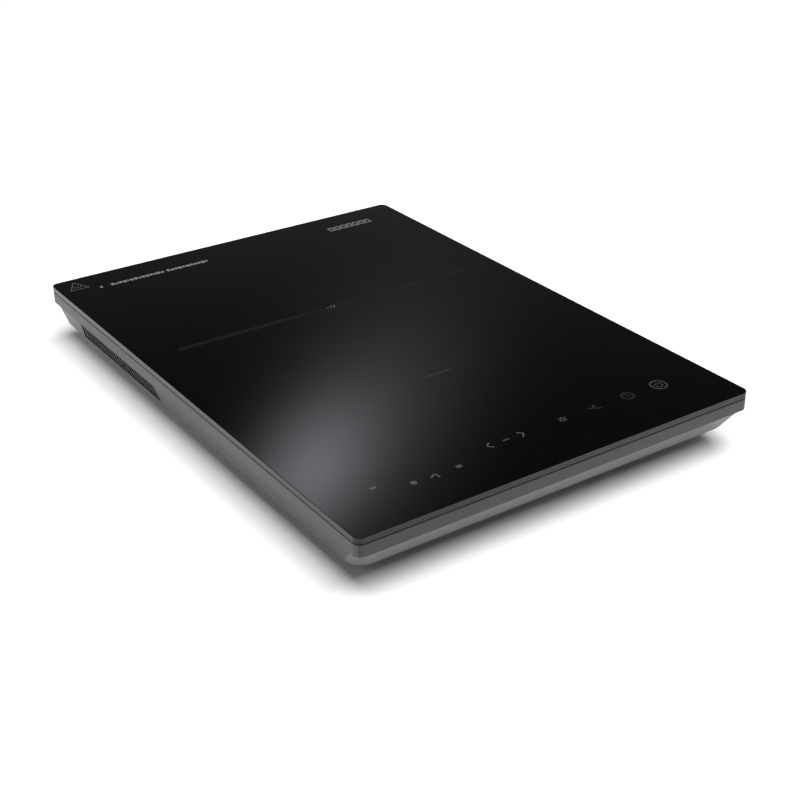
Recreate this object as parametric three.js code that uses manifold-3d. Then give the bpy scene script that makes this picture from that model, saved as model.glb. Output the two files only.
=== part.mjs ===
// A slim portable induction cooktop: one cooking zone under black glass, touch controls along the front.
// Millimetres, +Z up, +X to the right, controls at the front on -Y.
// The origin is on the worktop, under the middle of the glass.

import * as THREE from 'three';
import { mergeVertices } from 'three/addons/utils/BufferGeometryUtils.js';
import Module from 'manifold-3d';

const wasm = await Module();
wasm.setup();

// ---------- overall sizes ----------

const glassWidth = 290;
const glassDepth = 405;
const overallHeight = 38;

// ---------- clearances ----------

const touchGap = 0.3;           // between faces that rest on each other
const slideGap = 0.4;           // round a rib or a pin that is pushed into its place
const partGap = 2;              // between neighbours that must not touch
const overcut = 1;              // how far a cutting tool reaches past the face it opens
const overlap = 1;              // how far two solids that are joined reach into each other

// ---------- glass, bond and frame ----------

const glassThickness = 4;
const glassCornerRadius = 5;
const glassTopBevel = 0.7;
const glassUnderBevel = 0.35;
const bondThickness = 0.5;
const bondInset = 2.5;          // from the glass edge to the adhesive
const bondWidth = 9;
const frameBandHeight = 7.5;
const frameBevel = 0.5;
const frameLedgeWidth = 14;     // how far the ledge under the glass reaches in
const frameLipWidth = 2;        // the lip that stands up outside the adhesive
const frameRibDepth = 2;
const frameRibThickness = 1.8;

// ---------- lower housing ----------

const wall = 2.2;
const floorThickness = 2.2;
const edgeRound = 0.9;
const edgeRoundShares = [0.04, 0.09];   // how far the rounded edge reaches in, from the edge to the belly
const wallDrop = 13.4;          // from the rim down to the lower edge
const rimInset = { left: 1.5, right: 1.5, front: 1.5, rear: 1.5, radius: 7 };
const edgeInset = { left: 4.8, right: 4.8, front: 10.2, rear: 5.6, radius: 12 };
const bellyInset = { left: 22, right: 22, front: 26, rear: 22, radius: 24 };

// ---------- feet ----------

const footHeight = 5;
const footRadius = 9;
const footPegRadius = 3;
const footChamfer = 1;
const footTaper = 0.8;          // how much narrower a foot is at its top
const footInset = 41;           // from the glass edge to the middle of a foot

// ---------- housing screws ----------

const screwRadius = 1.5;
const screwHeadRadius = 3;
const screwHeadHeight = 2;
const screwHeadRecess = 4.4;    // depth of the counterbore under the housing
const screwBossRadius = 4.8;
const screwBossSplit = 15;      // height of the housing's column above its floor
const screwInset = 28;
const screwBite = 8;            // how far a screw reaches into the frame's boss
const crossReach = 0.62;        // length of the cross recess as a share of the head's width
const crossWidth = 0.8;

// ---------- side vent and intake grille ----------

const ventFromRear = 45;
const ventLength = 115;
const ventPitch = 5.75;
const ventSlotWidth = 3.9;
const ventSlotMargin = 0.6;     // from the panel's upper and lower edges to the slots
const ventRecess = 0.8;
const ventTopDrop = 0.5;        // from the rim to the top of the vent
const ventHeight = 11.6;
const ventSlant = 5;            // how far the vent's ends lean over its height
const intakePitch = 6;
const intakeSlotWidth = 3.2;

// ---------- cord inlet ----------

const glandX = 95;
const glandBoreRadius = 3.2;
const glandNeckRadius = 4.4;
const glandFlangeRadius = 5.6;
const glandFlangeThickness = 2;
const glandFlangeTaper = 0.5;
const glandSeatInset = 6.6;     // from the rear edge of the glass to the flat face that the flange sits on
const glandSeatWall = 2.8;
const glandCollarRadius = 5.2;
const glandCollarThickness = 1.8;
const glandPocketHalfWidth = 8.5;
const glandSeatMargin = 0.6;    // from the rim to the thick place round the gland

// ---------- coil unit ----------

const zoneY = 53;               // the middle of the cooking zone
const micaThickness = 0.5;
const micaRadius = 91;
const coilInnerRadius = 27;
const coilOuterRadius = 86;
const coilTurns = 14;
const coilWireWidth = 3.4;
const coilWireHeight = 3.2;
const carrierThickness = 2.4;
const carrierRimHeight = 2;
const carrierRimWidth = 2;
const ferriteCount = 6;
const ferriteLength = 52;
const ferriteWidth = 13;
const ferriteHeight = 5;
const carrierEarCount = 3;
const carrierEarReach = 7;
const carrierEarRadius = 6;
const sensorRadius = 5;
const sensorThickness = 1.4;
const sensorHolderHeight = 4;
const sensorWellRadius = 9;
const sensorWellWall = 1.6;
const sensorWellDepth = 9;
const sensorWireHole = 2.6;
const sensorHolderWall = 1.6;
const springInset = 1.2;         // from the outside of the sensor's holder to the spring's wire
const carrierScrewBite = 7;
const coilPostInset = 2;         // how far a post's middle stands out from the middle of a carrier's ear
const springWireRadius = 0.5;
const springTurns = 4;
const springTurnSteps = 12;
const springWireSides = 6;

// ---------- power board ----------

const boardThickness = 1.6;
const boardStandoff = 3;
const boardPostRadius = 3.5;
const coilPostRadius = 4.5;
const coilPostPilotDepth = 9;
const boardSideInset = 38;      // from the left edge of the glass to the board
const boardFrontInset = 56;     // from the front edge of the glass to the board and to the fan
const boardDepth = 92;
const heatsinkLength = 66;
const heatsinkWidth = 40;
const heatsinkBase = 3;
const heatsinkFinThickness = 1.4;
const heatsinkFinCount = 8;
const heatsinkLegWidth = 2;
const heatsinkFromRight = 4;    // from the board's right edge
const heatsinkFromRear = 5;     // from the board's rear edge
const tallestRise = 4;          // how far the tallest parts stand up past the frame's lower edge
const boardScrewSpare = 1;      // how far a board screw stops above the housing's floor
const powerPackageHeight = 4.6;

// ---------- fan ----------

const impellerRadius = 36;
const impellerClearance = 3;
const impellerHubRadius = 14;
const impellerHubWall = 1.6;
const impellerBladeCount = 17;
const impellerBladeThickness = 1.3;
const impellerHeight = 11;
const impellerLift = 1;          // from the fan's floor to the impeller
const impellerHeadroom = 1.4;    // from the impeller to the fan's cover
const impellerPlate = 1.2;
const impellerPlateOverlap = 1;
const impellerBladeTuck = 0.5;   // how far the blades and the shaft stop below the top of the plate
const impellerBladeTurn = 32;    // how far a blade is turned from the radius, in degrees
const impellerBladeReach = 3;    // how far a blade reaches in past the inlet's edge
const statorAirGap = 1;
const statorTopGap = 1.6;
const statorCoreInset = 1;
const fanWall = 1.8;
const fanFloor = 1.6;
const fanCoverThickness = 1.2;
const fanShaftRadius = 1.5;
const fanInletRadius = 27;
const fanOutletY = 6;            // where the outlet's rear side stands, from the fan's middle
const fanStrutWidth = 5;
const fanStrutReach = 4;         // the struts' length beyond the inlet's radius
const cavitySides = 36;
const fanSideInset = 34;        // from the right edge of the glass to the fan

// ---------- control unit ----------

const controlsFromFront = 38.5; // from the front edge of the glass to the row of touch marks
const touchMarkX = [-28.5, -4.6, 26.5, 51.7, 78.8, 104.6];
const displayX = -66;
const displayLength = 52;
const displayWidth = 13;
const touchBoardDepth = 30;
const touchBoardSideInset = 27;
const touchPadRadius = 4;
const touchPadHeight = 5;
const bracketThickness = 2;
const bracketLip = 2.5;
const bracketLegInset = 30;
const bracketLegRadius = 4;
const displayForward = 3;        // from the row of touch marks to the middle of the display
const buzzerRight = 45;          // from the power mark to the buzzer
const buzzerForward = 9;
const buzzerRadius = 4.5;
const buzzerHeight = 3.5;

// ---------- levels, from the glass down ----------

const glassBottomZ = overallHeight - glassThickness;
const frameTopZ = glassBottomZ - bondThickness - 2 * touchGap;
const frameLipZ = glassBottomZ - touchGap;
const frameBottomZ = frameTopZ - frameBandHeight;
const rimZ = frameBottomZ - touchGap;
const edgeZ = rimZ - wallDrop;
const floorTopZ = footHeight + floorThickness;
const bossSplitZ = floorTopZ + screwBossSplit;
const micaTopZ = glassBottomZ - touchGap;
const coilTopZ = micaTopZ - micaThickness - touchGap;
const carrierTopZ = coilTopZ - coilWireHeight - touchGap;
const carrierBottomZ = carrierTopZ - carrierThickness;
const boardTopZ = floorTopZ + boardStandoff + touchGap + boardThickness;

// ---------- materials ----------

const material = (color, roughness, metalness) =>
  new THREE.MeshStandardMaterial({ color, roughness, metalness });

const blackGlass = () => material(0x0a0a0b, 0.08, 0);
const greyShell = () => material(0x6a6a6c, 0.45, 0.1);
const darkShell = () => material(0x3c3c3e, 0.42, 0.1);
const darkRubber = () => material(0x1c1c1d, 0.85, 0);
const paleSilicone = () => material(0xb9b4a8, 0.7, 0);
const steel = () => material(0x9a9a9c, 0.35, 1);
const copper = () => material(0xb06a3c, 0.4, 1);
const aluminium = () => material(0xb8babd, 0.4, 1);
const ferrite = () => material(0x2f3033, 0.6, 0.2);
const mica = () => material(0xc9bd9c, 0.6, 0);
const whiteResin = () => material(0xd8d6cf, 0.55, 0);
const blackResin = () => material(0x202124, 0.5, 0);
const boardGreen = () => material(0x2a6a3f, 0.55, 0);
const yellowFilm = () => material(0xc79a2c, 0.5, 0);

// ---------- outlines and solids ----------

const cornerSteps = 8;
const roundSides = 20;
const largeSides = 48;
const smallSides = 12;

// A rounded rectangle, anticlockwise, measured inwards from the edges of the glass.
function outline({ left, right, front, rear, radius }) {
  const x0 = left - glassWidth / 2;
  const x1 = glassWidth / 2 - right;
  const y0 = front - glassDepth / 2;
  const y1 = glassDepth / 2 - rear;
  const corners = [[x1 - radius, y1 - radius], [x0 + radius, y1 - radius], [x0 + radius, y0 + radius],
    [x1 - radius, y0 + radius]];
  return corners.flatMap(([x, y], quarter) => Array.from({ length: cornerSteps + 1 }, (_, step) => {
    const angle = (quarter + step / cornerSteps) * Math.PI / 2;
    return [x + radius * Math.cos(angle), y + radius * Math.sin(angle)];
  }));
}

const even = (inset, radius) => ({ left: inset, right: inset, front: inset, rear: inset, radius });

// The same insets moved further in, which also tightens the corners.
function deeper(insets, distance) {
  return {
    left: insets.left + distance,
    right: insets.right + distance,
    front: insets.front + distance,
    rear: insets.rear + distance,
    radius: Math.max(insets.radius - distance, 1),
  };
}

// Insets part of the way from one set to another.
function between(from, to, share) {
  const mixed = {};
  for (const key of Object.keys(from)) mixed[key] = from[key] + (to[key] - from[key]) * share;
  return mixed;
}

// The housing's outer insets at a height on its wall, between the lower edge and the rim.
const wallInsets = (z) => between(edgeInset, rimInset, (z - edgeZ) / (rimZ - edgeZ));

// A solid through rings of equal point counts, listed upwards as [height, ring].
function loft(levels) {
  const count = levels[0][1].length;
  const positions = [];
  const index = [];
  for (const [z, ring] of levels) {
    for (const [x, y] of ring) positions.push(x, y, z);
  }
  for (let level = 0; level < levels.length - 1; level++) {
    for (let i = 0; i < count; i++) {
      const a = level * count + i;
      const b = level * count + (i + 1) % count;
      index.push(a, b, b + count, a, b + count, a + count);
    }
  }
  const top = (levels.length - 1) * count;
  for (let i = 1; i < count - 1; i++) index.push(0, i + 1, i, top, top + i, top + i + 1);
  const geometry = new THREE.BufferGeometry();
  geometry.setAttribute('position', new THREE.Float32BufferAttribute(positions, 3));
  geometry.setIndex(index);
  return solid(geometry);
}

// A closed geometry as a solid that can be joined and cut.
function solid(geometry) {
  geometry.deleteAttribute('normal');
  geometry.deleteAttribute('uv');
  const merged = mergeVertices(geometry, 1e-4);
  const vertProperties = new Float32Array(merged.attributes.position.array);
  const triVerts = new Uint32Array(merged.index.array);
  return new wasm.Manifold(new wasm.Mesh({ numProp: 3, vertProperties, triVerts }));
}

// A box from its low corner to its high corner.
function block([x0, y0, z0], [x1, y1, z1]) {
  const box = new THREE.BoxGeometry(x1 - x0, y1 - y0, z1 - z0);
  return solid(box.translate((x0 + x1) / 2, (y0 + y1) / 2, (z0 + z1) / 2));
}

// A box standing on z0 round a middle point.
function brick(x, y, width, depth, z0, z1) {
  return block([x - width / 2, y - depth / 2, z0], [x + width / 2, y + depth / 2, z1]);
}

// An upright cylinder.
function disc(x, y, radius, z0, z1, sides = roundSides) {
  const cylinder = new THREE.CylinderGeometry(radius, radius, z1 - z0, sides).rotateX(Math.PI / 2);
  return solid(cylinder.translate(x, y, (z0 + z1) / 2));
}

// An upright tube.
function ring(x, y, outer, inner, z0, z1, sides = roundSides) {
  return disc(x, y, outer, z0, z1, sides).subtract(disc(x, y, inner, z0 - overcut, z1 + overcut, sides));
}

// A profile of [radius, height] points turned round Z.
function turned(profile, sides = roundSides) {
  const points = profile.map(([radius, z]) => new THREE.Vector2(radius, z));
  return solid(new THREE.LatheGeometry(points, sides).rotateX(Math.PI / 2));
}

// A round wire or a flat ribbon along a curve.
function swept(curve, steps, section) {
  return solid(new THREE.ExtrudeGeometry(section, { extrudePath: curve, steps, bevelEnabled: false }));
}

function roundSection(radius, sides) {
  const points = Array.from({ length: sides }, (_, i) => {
    const angle = i * 2 * Math.PI / sides;
    return new THREE.Vector2(radius * Math.cos(angle), radius * Math.sin(angle));
  });
  return new THREE.Shape(points);
}

const union = (solids) => solids.reduce((sum, next) => sum.add(next));

// ---------- the scene graph ----------

const group = new THREE.Group();

function addPiece(parent, name, shape, look, position = [0, 0, 0], turn = 0) {
  const { vertProperties, triVerts } = shape.getMesh();
  const geometry = new THREE.BufferGeometry();
  geometry.setAttribute('position', new THREE.Float32BufferAttribute(vertProperties, 3));
  geometry.setIndex(new THREE.BufferAttribute(triVerts, 1));
  geometry.computeVertexNormals();
  const mesh = new THREE.Mesh(geometry, look);
  mesh.name = name;
  mesh.position.set(...position);
  mesh.rotation.z = turn;
  parent.add(mesh);
}

function addGroup(x, y) {
  const unit = new THREE.Group();
  unit.position.set(x, y, 0);
  group.add(unit);
  return unit;
}

// ---------- places shared by several pieces ----------

const leftX = -glassWidth / 2;
const rightX = glassWidth / 2;
const frontY = -glassDepth / 2;
const rearY = glassDepth / 2;

const controlY = frontY + controlsFromFront;
const bracketWall = 1.2;
const bracketHalfDepth = touchBoardDepth / 2 + slideGap + bracketWall;

const screwRows = [
  controlY + bracketHalfDepth + screwBossRadius + partGap / 2,
  frontY + boardFrontInset + boardDepth + screwBossRadius + 4 * partGap,
  rearY - screwInset,
];
const screwPlaces = [leftX + screwInset, rightX - screwInset].flatMap((x) => screwRows.map((y) => [x, y]));

const footPlaces = {
  front_left: [leftX + footInset, frontY + footInset],
  front_right: [rightX - footInset, frontY + footInset],
  rear_left: [leftX + footInset, rearY - footInset],
  rear_right: [rightX - footInset, rearY - footInset],
};

const fanHousingHalf = impellerRadius + impellerClearance + fanWall;
const fanX = rightX - fanSideInset - fanHousingHalf;
const fanY = frontY + boardFrontInset + fanHousingHalf;

const boardLeft = leftX + boardSideInset;
const boardRight = fanX - fanHousingHalf - partGap;
const boardFront = frontY + boardFrontInset;
const boardRear = boardFront + boardDepth;
const boardScrewInset = 5;
const boardScrewPlaces = [[boardRight - boardScrewInset, boardFront + boardScrewInset],
  [boardLeft + boardScrewInset, boardRear - boardScrewInset]];

const carrierRadius = coilOuterRadius + coilWireWidth / 2 + 1.5 * touchGap + carrierRimWidth;
const carrierEarAngles = Array.from({ length: carrierEarCount },
  (_, i) => Math.PI / 6 + i * 2 * Math.PI / carrierEarCount);
const carrierEarPlaces = carrierEarAngles.map((angle) => [
  (carrierRadius + carrierEarReach - carrierEarRadius + coilPostInset) * Math.cos(angle),
  (carrierRadius + carrierEarReach - carrierEarRadius + coilPostInset) * Math.sin(angle)]);

const ventRear = rearY - ventFromRear;
const ventFront = ventRear - ventLength;
const ventTop = rimZ - ventTopDrop;
const ventBottom = ventTop - ventHeight;

const glandY = rearY - glandSeatInset;
const glandZ = (rimZ + edgeZ) / 2 - touchGap;

// ---------- glass ----------

function glassPlate() {
  const ringAt = (inset) => outline(even(inset, glassCornerRadius));
  return loft([
    [glassBottomZ, ringAt(glassUnderBevel)],
    [glassBottomZ + glassUnderBevel, ringAt(0)],
    [overallHeight - glassTopBevel, ringAt(0)],
    [overallHeight, ringAt(glassTopBevel)],
  ]);
}

function straightRing(inset, width, radius, z0, z1) {
  const outer = outline(even(inset, radius));
  const inner = outline(even(inset + width, radius));
  return loft([[z0, outer], [z1, outer]]).subtract(loft([[z0 - overcut, inner], [z1 + overcut, inner]]));
}

function glassBond() {
  return straightRing(bondInset, bondWidth, glassCornerRadius, frameTopZ + touchGap,
    frameTopZ + touchGap + bondThickness);
}

// ---------- top frame ----------

// The rib that drops inside the housing's wall, following the wall's slope.
function frameRib() {
  const ringAt = (z, inwards) => outline(deeper(wallInsets(Math.min(z, rimZ)), wall + slideGap + inwards));
  const low = rimZ - frameRibDepth;
  const high = frameBottomZ + overlap;
  const outer = loft([[low, ringAt(low, 0)], [rimZ, ringAt(rimZ, 0)], [high, ringAt(high, 0)]]);
  const inside = frameRibThickness;
  const inner = loft([[low - overcut, ringAt(low, inside)], [rimZ, ringAt(rimZ, inside)],
    [high + overcut, ringAt(high, inside)]]);
  const roomHalf = glandPocketHalfWidth + wall + partGap;
  const glandRoom = block([glandX - roomHalf, rearY - 2 * frameLedgeWidth, low - overcut],
    [glandX + roomHalf, rearY, frameBottomZ]);
  return outer.subtract(inner).subtract(glandRoom);
}

// A boss under the ledge with a tab that ties it to the frame.
function frameBoss([x, y]) {
  const side = Math.sign(x);
  const boss = disc(x, y, screwBossRadius, bossSplitZ + touchGap, frameTopZ, smallSides);
  const tabEnds = [x, side * (glassWidth / 2 - frameLedgeWidth + overlap)].sort((a, b) => a - b);
  const tab = block([tabEnds[0], y - screwBossRadius, frameBottomZ],
    [tabEnds[1], y + screwBossRadius, frameTopZ]);
  return boss.add(tab);
}

function topFrame() {
  const ringAt = (inset) => outline(even(inset, glassCornerRadius));
  const outer = loft([
    [frameBottomZ, ringAt(frameBevel)],
    [frameBottomZ + frameBevel, ringAt(0)],
    [frameLipZ - frameBevel / 2, ringAt(0)],
    [frameLipZ, ringAt(frameBevel / 2)],
  ]);
  const opening = outline(even(frameLedgeWidth, glassCornerRadius));
  const insideLip = outline(even(frameLipWidth, glassCornerRadius));
  const frame = outer.subtract(loft([[frameBottomZ - overcut, opening], [frameLipZ + overcut, opening]]))
    .subtract(loft([[frameTopZ, insideLip], [frameLipZ + overcut, insideLip]]));
  const pilots = screwPlaces.map(([x, y]) =>
    disc(x, y, screwRadius + touchGap, bossSplitZ - overcut, bossSplitZ + screwBite + overcut, smallSides));
  return union([frame, frameRib(), ...screwPlaces.map(frameBoss)]).subtract(union(pilots));
}

// ---------- lower housing ----------

function housingBody() {
  const [edgeShare, underShare] = edgeRoundShares;
  return loft([
    [footHeight, outline(bellyInset)],
    [edgeZ - edgeRound / 2, outline(between(edgeInset, bellyInset, underShare))],
    [edgeZ, outline(between(edgeInset, bellyInset, edgeShare))],
    [edgeZ + edgeRound, outline(wallInsets(edgeZ + edgeRound))],
    [rimZ, outline(rimInset)],
  ]);
}

function housingHollow() {
  return loft([
    [floorTopZ, outline(deeper(bellyInset, wall))],
    [edgeZ + floorThickness, outline(deeper(wallInsets(edgeZ + floorThickness), 1.5 * wall))],
    [rimZ, outline(deeper(rimInset, wall))],
    [rimZ + overcut, outline(deeper(rimInset, wall))],
  ]);
}

// The sunken panel that the vent slots open through. Its ends lean, and its face follows the wall.
function ventPanel() {
  const ringAt = (z, lean) => {
    const face = leftX + wallInsets(z).left + ventRecess;
    return [[leftX - overcut, ventFront - lean], [face, ventFront - lean], [face, ventRear],
      [leftX - overcut, ventRear]];
  };
  return loft([[ventBottom, ringAt(ventBottom, ventSlant)], [ventTop, ringAt(ventTop, 0)]]);
}

// The slots lean like the panel's ends.
function ventSlots() {
  const count = Math.floor(ventLength / ventPitch);
  const spare = (ventLength - count * ventPitch + ventPitch - ventSlotWidth) / 2;
  const inX = leftX + wallInsets(ventBottom).left + 2 * wall + overcut;
  const leanAt = (z) => ventSlant * (ventTop - z) / ventHeight;
  return Array.from({ length: count }, (_, i) => {
    const levels = [ventBottom + ventSlotMargin, ventTop - ventSlotMargin].map((z) => {
      const y = ventFront + spare + i * ventPitch - leanAt(z);
      const rear = y + ventSlotWidth;
      return [z, [[leftX - overcut, y], [inX, y], [inX, rear], [leftX - overcut, rear]]];
    });
    return loft(levels);
  });
}

function intakeSlots() {
  const count = 2 * Math.floor(fanInletRadius / intakePitch) + 1;
  return Array.from({ length: count }, (_, i) => {
    const offset = (i - (count - 1) / 2) * intakePitch;
    const half = Math.sqrt(fanInletRadius ** 2 - offset ** 2);
    return block([fanX - half, fanY + offset - intakeSlotWidth / 2, footHeight - overcut],
      [fanX + half, fanY + offset + intakeSlotWidth / 2, floorTopZ + overcut]);
  });
}

const post = (x, y, radius, top) => disc(x, y, radius, floorTopZ - overlap, top, smallSides);

// A thick place in the rear wall, with a flat seat cut into it for the cord gland.
function glandSeat() {
  const low = edgeZ + floorThickness;
  const high = rimZ - glandSeatMargin;
  return block([glandX - glandPocketHalfWidth - wall, glandY - glandSeatWall, low],
    [glandX + glandPocketHalfWidth + wall, rearY - wallInsets(low).rear - glandSeatMargin, high])
    .intersect(housingBody());
}

function glandCuts() {
  const low = glandZ - glandFlangeRadius - slideGap;
  const high = glandZ + glandFlangeRadius + slideGap;
  const pocket = block([glandX - glandPocketHalfWidth, glandY, low],
    [glandX + glandPocketHalfWidth, rearY + overcut, high]);
  const roomHalf = glandCollarRadius + slideGap;
  const seatBack = glandY - glandSeatWall;
  const roomFront = seatBack - glandCollarThickness - 4 * partGap;
  const collarRoom = block([glandX - roomHalf, roomFront, glandZ - roomHalf],
    [glandX + roomHalf, seatBack, glandZ + roomHalf]);
  const through = alongRear(disc(0, 0, glandNeckRadius + slideGap, -glandSeatWall - overcut, overcut));
  return pocket.add(collarRoom).add(through);
}

// Lays a solid that was made round Z along the depth of the object, at the cord gland.
const alongRear = (shape) => shape.rotate([-90, 0, 0]).translate([glandX, glandY, glandZ]);

function bottomHousing() {
  const columns = screwPlaces.map(([x, y]) => post(x, y, screwBossRadius, bossSplitZ));
  const boardPosts = boardScrewPlaces.map(([x, y]) => post(x, y, boardPostRadius, floorTopZ + boardStandoff));
  const coilPosts = carrierEarPlaces.map(([x, y]) =>
    post(x, zoneY + y, coilPostRadius, carrierBottomZ - touchGap));
  const shell = housingBody().subtract(housingHollow());
  const cuts = [ventPanel(), ...ventSlots(), ...intakeSlots(), glandCuts()];
  for (const [x, y] of screwPlaces) {
    cuts.push(disc(x, y, screwRadius + slideGap, footHeight - overcut, bossSplitZ + overcut, smallSides));
    cuts.push(disc(x, y, screwHeadRadius + slideGap, footHeight - overcut, footHeight + screwHeadRecess,
      roundSides));
  }
  for (const [x, y] of boardScrewPlaces) {
    cuts.push(disc(x, y, screwRadius + touchGap, floorTopZ - overlap / 2, floorTopZ + boardStandoff + overcut,
      smallSides));
  }
  for (const [x, y] of carrierEarPlaces) {
    cuts.push(disc(x, zoneY + y, screwRadius + touchGap, carrierBottomZ - coilPostPilotDepth, carrierBottomZ,
      smallSides));
  }
  for (const [x, y] of Object.values(footPlaces)) {
    cuts.push(disc(x, y, footPegRadius + touchGap, footHeight - overcut, floorTopZ + overcut, roundSides));
  }
  return union([shell, glandSeat(), ...columns, ...boardPosts, ...coilPosts]).subtract(union(cuts));
}

// ---------- feet, screws and gland ----------

function foot() {
  const top = footHeight - touchGap;
  return turned([[0, 0], [footRadius - footChamfer, 0], [footRadius, footChamfer],
    [footRadius - footTaper, top], [footPegRadius, top], [footPegRadius, floorTopZ], [0, floorTopZ]]);
}

// A screw with its head below and its shank upwards, from the underside of its head.
function screwUp(length) {
  const shank = disc(0, 0, screwRadius, -screwHeadHeight / 4, length, smallSides);
  const head = disc(0, 0, screwHeadRadius, -screwHeadHeight, 0, roundSides);
  const arm = 2 * screwHeadRadius * crossReach;
  const [crossLow, crossHigh] = [-screwHeadHeight - overcut, -screwHeadHeight / 2];
  const cross = brick(0, 0, arm, crossWidth, crossLow, crossHigh)
    .add(brick(0, 0, crossWidth, arm, crossLow, crossHigh));
  return head.add(shank).subtract(cross);
}

const screwDown = (length) => screwUp(length).rotate([180, 0, 0]);

function cordGland() {
  const neckLength = glandSeatWall + 2 * touchGap;
  const innerEnd = -neckLength - glandCollarThickness;
  const profile = [
    [glandBoreRadius, innerEnd],
    [glandCollarRadius, innerEnd],
    [glandCollarRadius, -neckLength],
    [glandNeckRadius, -neckLength],
    [glandNeckRadius, 0],
    [glandFlangeRadius, 0],
    [glandFlangeRadius - glandFlangeTaper, glandFlangeThickness],
    [glandBoreRadius, glandFlangeThickness],
    [glandBoreRadius, innerEnd],
  ];
  return alongRear(turned(profile).translate([0, 0, touchGap]));
}

function addShell() {
  addPiece(group, 'glass_plate', glassPlate(), blackGlass());
  addPiece(group, 'glass_bond', glassBond(), darkRubber());
  addPiece(group, 'top_frame', topFrame(), darkShell());
  addPiece(group, 'bottom_housing', bottomHousing(), greyShell());
  addPiece(group, 'cord_gland', cordGland(), darkRubber());
  for (const [place, [x, y]] of Object.entries(footPlaces)) {
    addPiece(group, `foot_${place}`, foot(), darkRubber(), [x, y, 0]);
  }
  const headSeatZ = footHeight + screwHeadRecess - touchGap;
  screwPlaces.forEach(([x, y], i) => {
    const length = bossSplitZ + screwBite - headSeatZ;
    addPiece(group, `housing_screw_${i + 1}`, screwUp(length), steel(), [x, y, headSeatZ]);
  });
}

// ---------- coil unit, round the middle of the cooking zone ----------

class FlatSpiral extends THREE.Curve {
  getPoint(share, target = new THREE.Vector3()) {
    const radius = coilInnerRadius + share * (coilOuterRadius - coilInnerRadius);
    const angle = Math.PI * (1 + 2 * share * coilTurns);
    return target.set(radius * Math.cos(angle), radius * Math.sin(angle), 0);
  }
}

function litzCoil() {
  const stepsPerTurn = 18;
  const count = coilTurns * stepsPerTurn;
  const positions = [];
  const index = [];
  const spiral = new FlatSpiral();
  const half = coilWireWidth / 2;
  for (let i = 0; i <= count; i++) {
    const { x, y } = spiral.getPoint(i / count);
    const radius = Math.hypot(x, y);
    for (const [offset, z] of [[-half, 0], [half, 0], [half, coilWireHeight], [-half, coilWireHeight]]) {
      positions.push(x * (radius + offset) / radius, y * (radius + offset) / radius, z);
    }
    if (i < count) {
      for (let side = 0; side < 4; side++) {
        const a = i * 4 + side;
        const b = i * 4 + (side + 1) % 4;
        index.push(a, b + 4, b, a, a + 4, b + 4);
      }
    }
  }
  const last = count * 4;
  index.push(0, 1, 2, 0, 2, 3, last, last + 2, last + 1, last, last + 3, last + 2);
  const geometry = new THREE.BufferGeometry();
  geometry.setAttribute('position', new THREE.Float32BufferAttribute(positions, 3));
  geometry.setIndex(index);
  return solid(geometry).translate([0, 0, coilTopZ - coilWireHeight]);
}

const leadRadius = 1.4;
const leadClearance = 0.6;
const coilLeadX = [-coilInnerRadius, -coilOuterRadius + coilWireWidth / 2];
const ferriteAngle = (i) => (i + 0.5) * 2 * Math.PI / ferriteCount;
const ferriteMiddle = (coilInnerRadius + coilOuterRadius) / 2;

function coilCarrier() {
  const plate = disc(0, 0, carrierRadius, carrierBottomZ, carrierTopZ, largeSides);
  const rim = ring(0, 0, carrierRadius, carrierRadius - carrierRimWidth, carrierBottomZ,
    carrierTopZ + carrierRimHeight, largeSides);
  const wellOuter = sensorWellRadius + sensorWellWall;
  const well = disc(0, 0, wellOuter, carrierBottomZ - sensorWellDepth, carrierTopZ);
  const ears = carrierEarPlaces.map(([x, y]) => disc(x, y, carrierEarRadius, carrierBottomZ, carrierTopZ,
    smallSides));
  const wellHollow = disc(0, 0, sensorWellRadius, carrierBottomZ - sensorWellDepth + sensorWellWall,
    carrierTopZ + overcut);
  const cuts = [wellHollow, brick(0, 0, sensorWireHole, sensorWireHole,
    carrierBottomZ - sensorWellDepth - overcut, carrierTopZ)];
  for (const [x, y] of carrierEarPlaces) {
    cuts.push(disc(x, y, screwRadius + slideGap, carrierBottomZ - overcut, carrierTopZ + overcut,
      smallSides));
  }
  cuts.push(...coilLeadX.map((x) =>
    disc(x, 0, leadRadius + leadClearance, carrierBottomZ - overcut, carrierTopZ + overcut, smallSides)));
  return union([plate, rim, well, ...ears]).subtract(union(cuts));
}

function ferriteBar() {
  return brick(0, 0, ferriteLength, ferriteWidth, carrierBottomZ - touchGap - ferriteHeight,
    carrierBottomZ - touchGap);
}

class Helix extends THREE.Curve {
  constructor(radius, turns, height) {
    super();
    Object.assign(this, { radius, turns, height });
  }

  getPoint(share, target = new THREE.Vector3()) {
    const angle = share * this.turns * 2 * Math.PI;
    return target.set(this.radius * Math.cos(angle), this.radius * Math.sin(angle), share * this.height);
  }
}

const sensorTopZ = glassBottomZ - touchGap;
const sensorHolderTopZ = sensorTopZ - sensorThickness - touchGap;
const sensorHolderRadius = sensorRadius + sensorHolderWall;
const sensorWellFloorZ = carrierBottomZ - sensorWellDepth + sensorWellWall;

function sensorSpring() {
  const low = sensorWellFloorZ + springWireRadius + touchGap;
  const high = sensorHolderTopZ - sensorHolderHeight - springWireRadius - touchGap;
  const helix = new Helix(sensorHolderRadius - springInset, springTurns, high - low);
  return swept(helix, springTurns * springTurnSteps, roundSection(springWireRadius, springWireSides))
    .translate([0, 0, low]);
}

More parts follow.
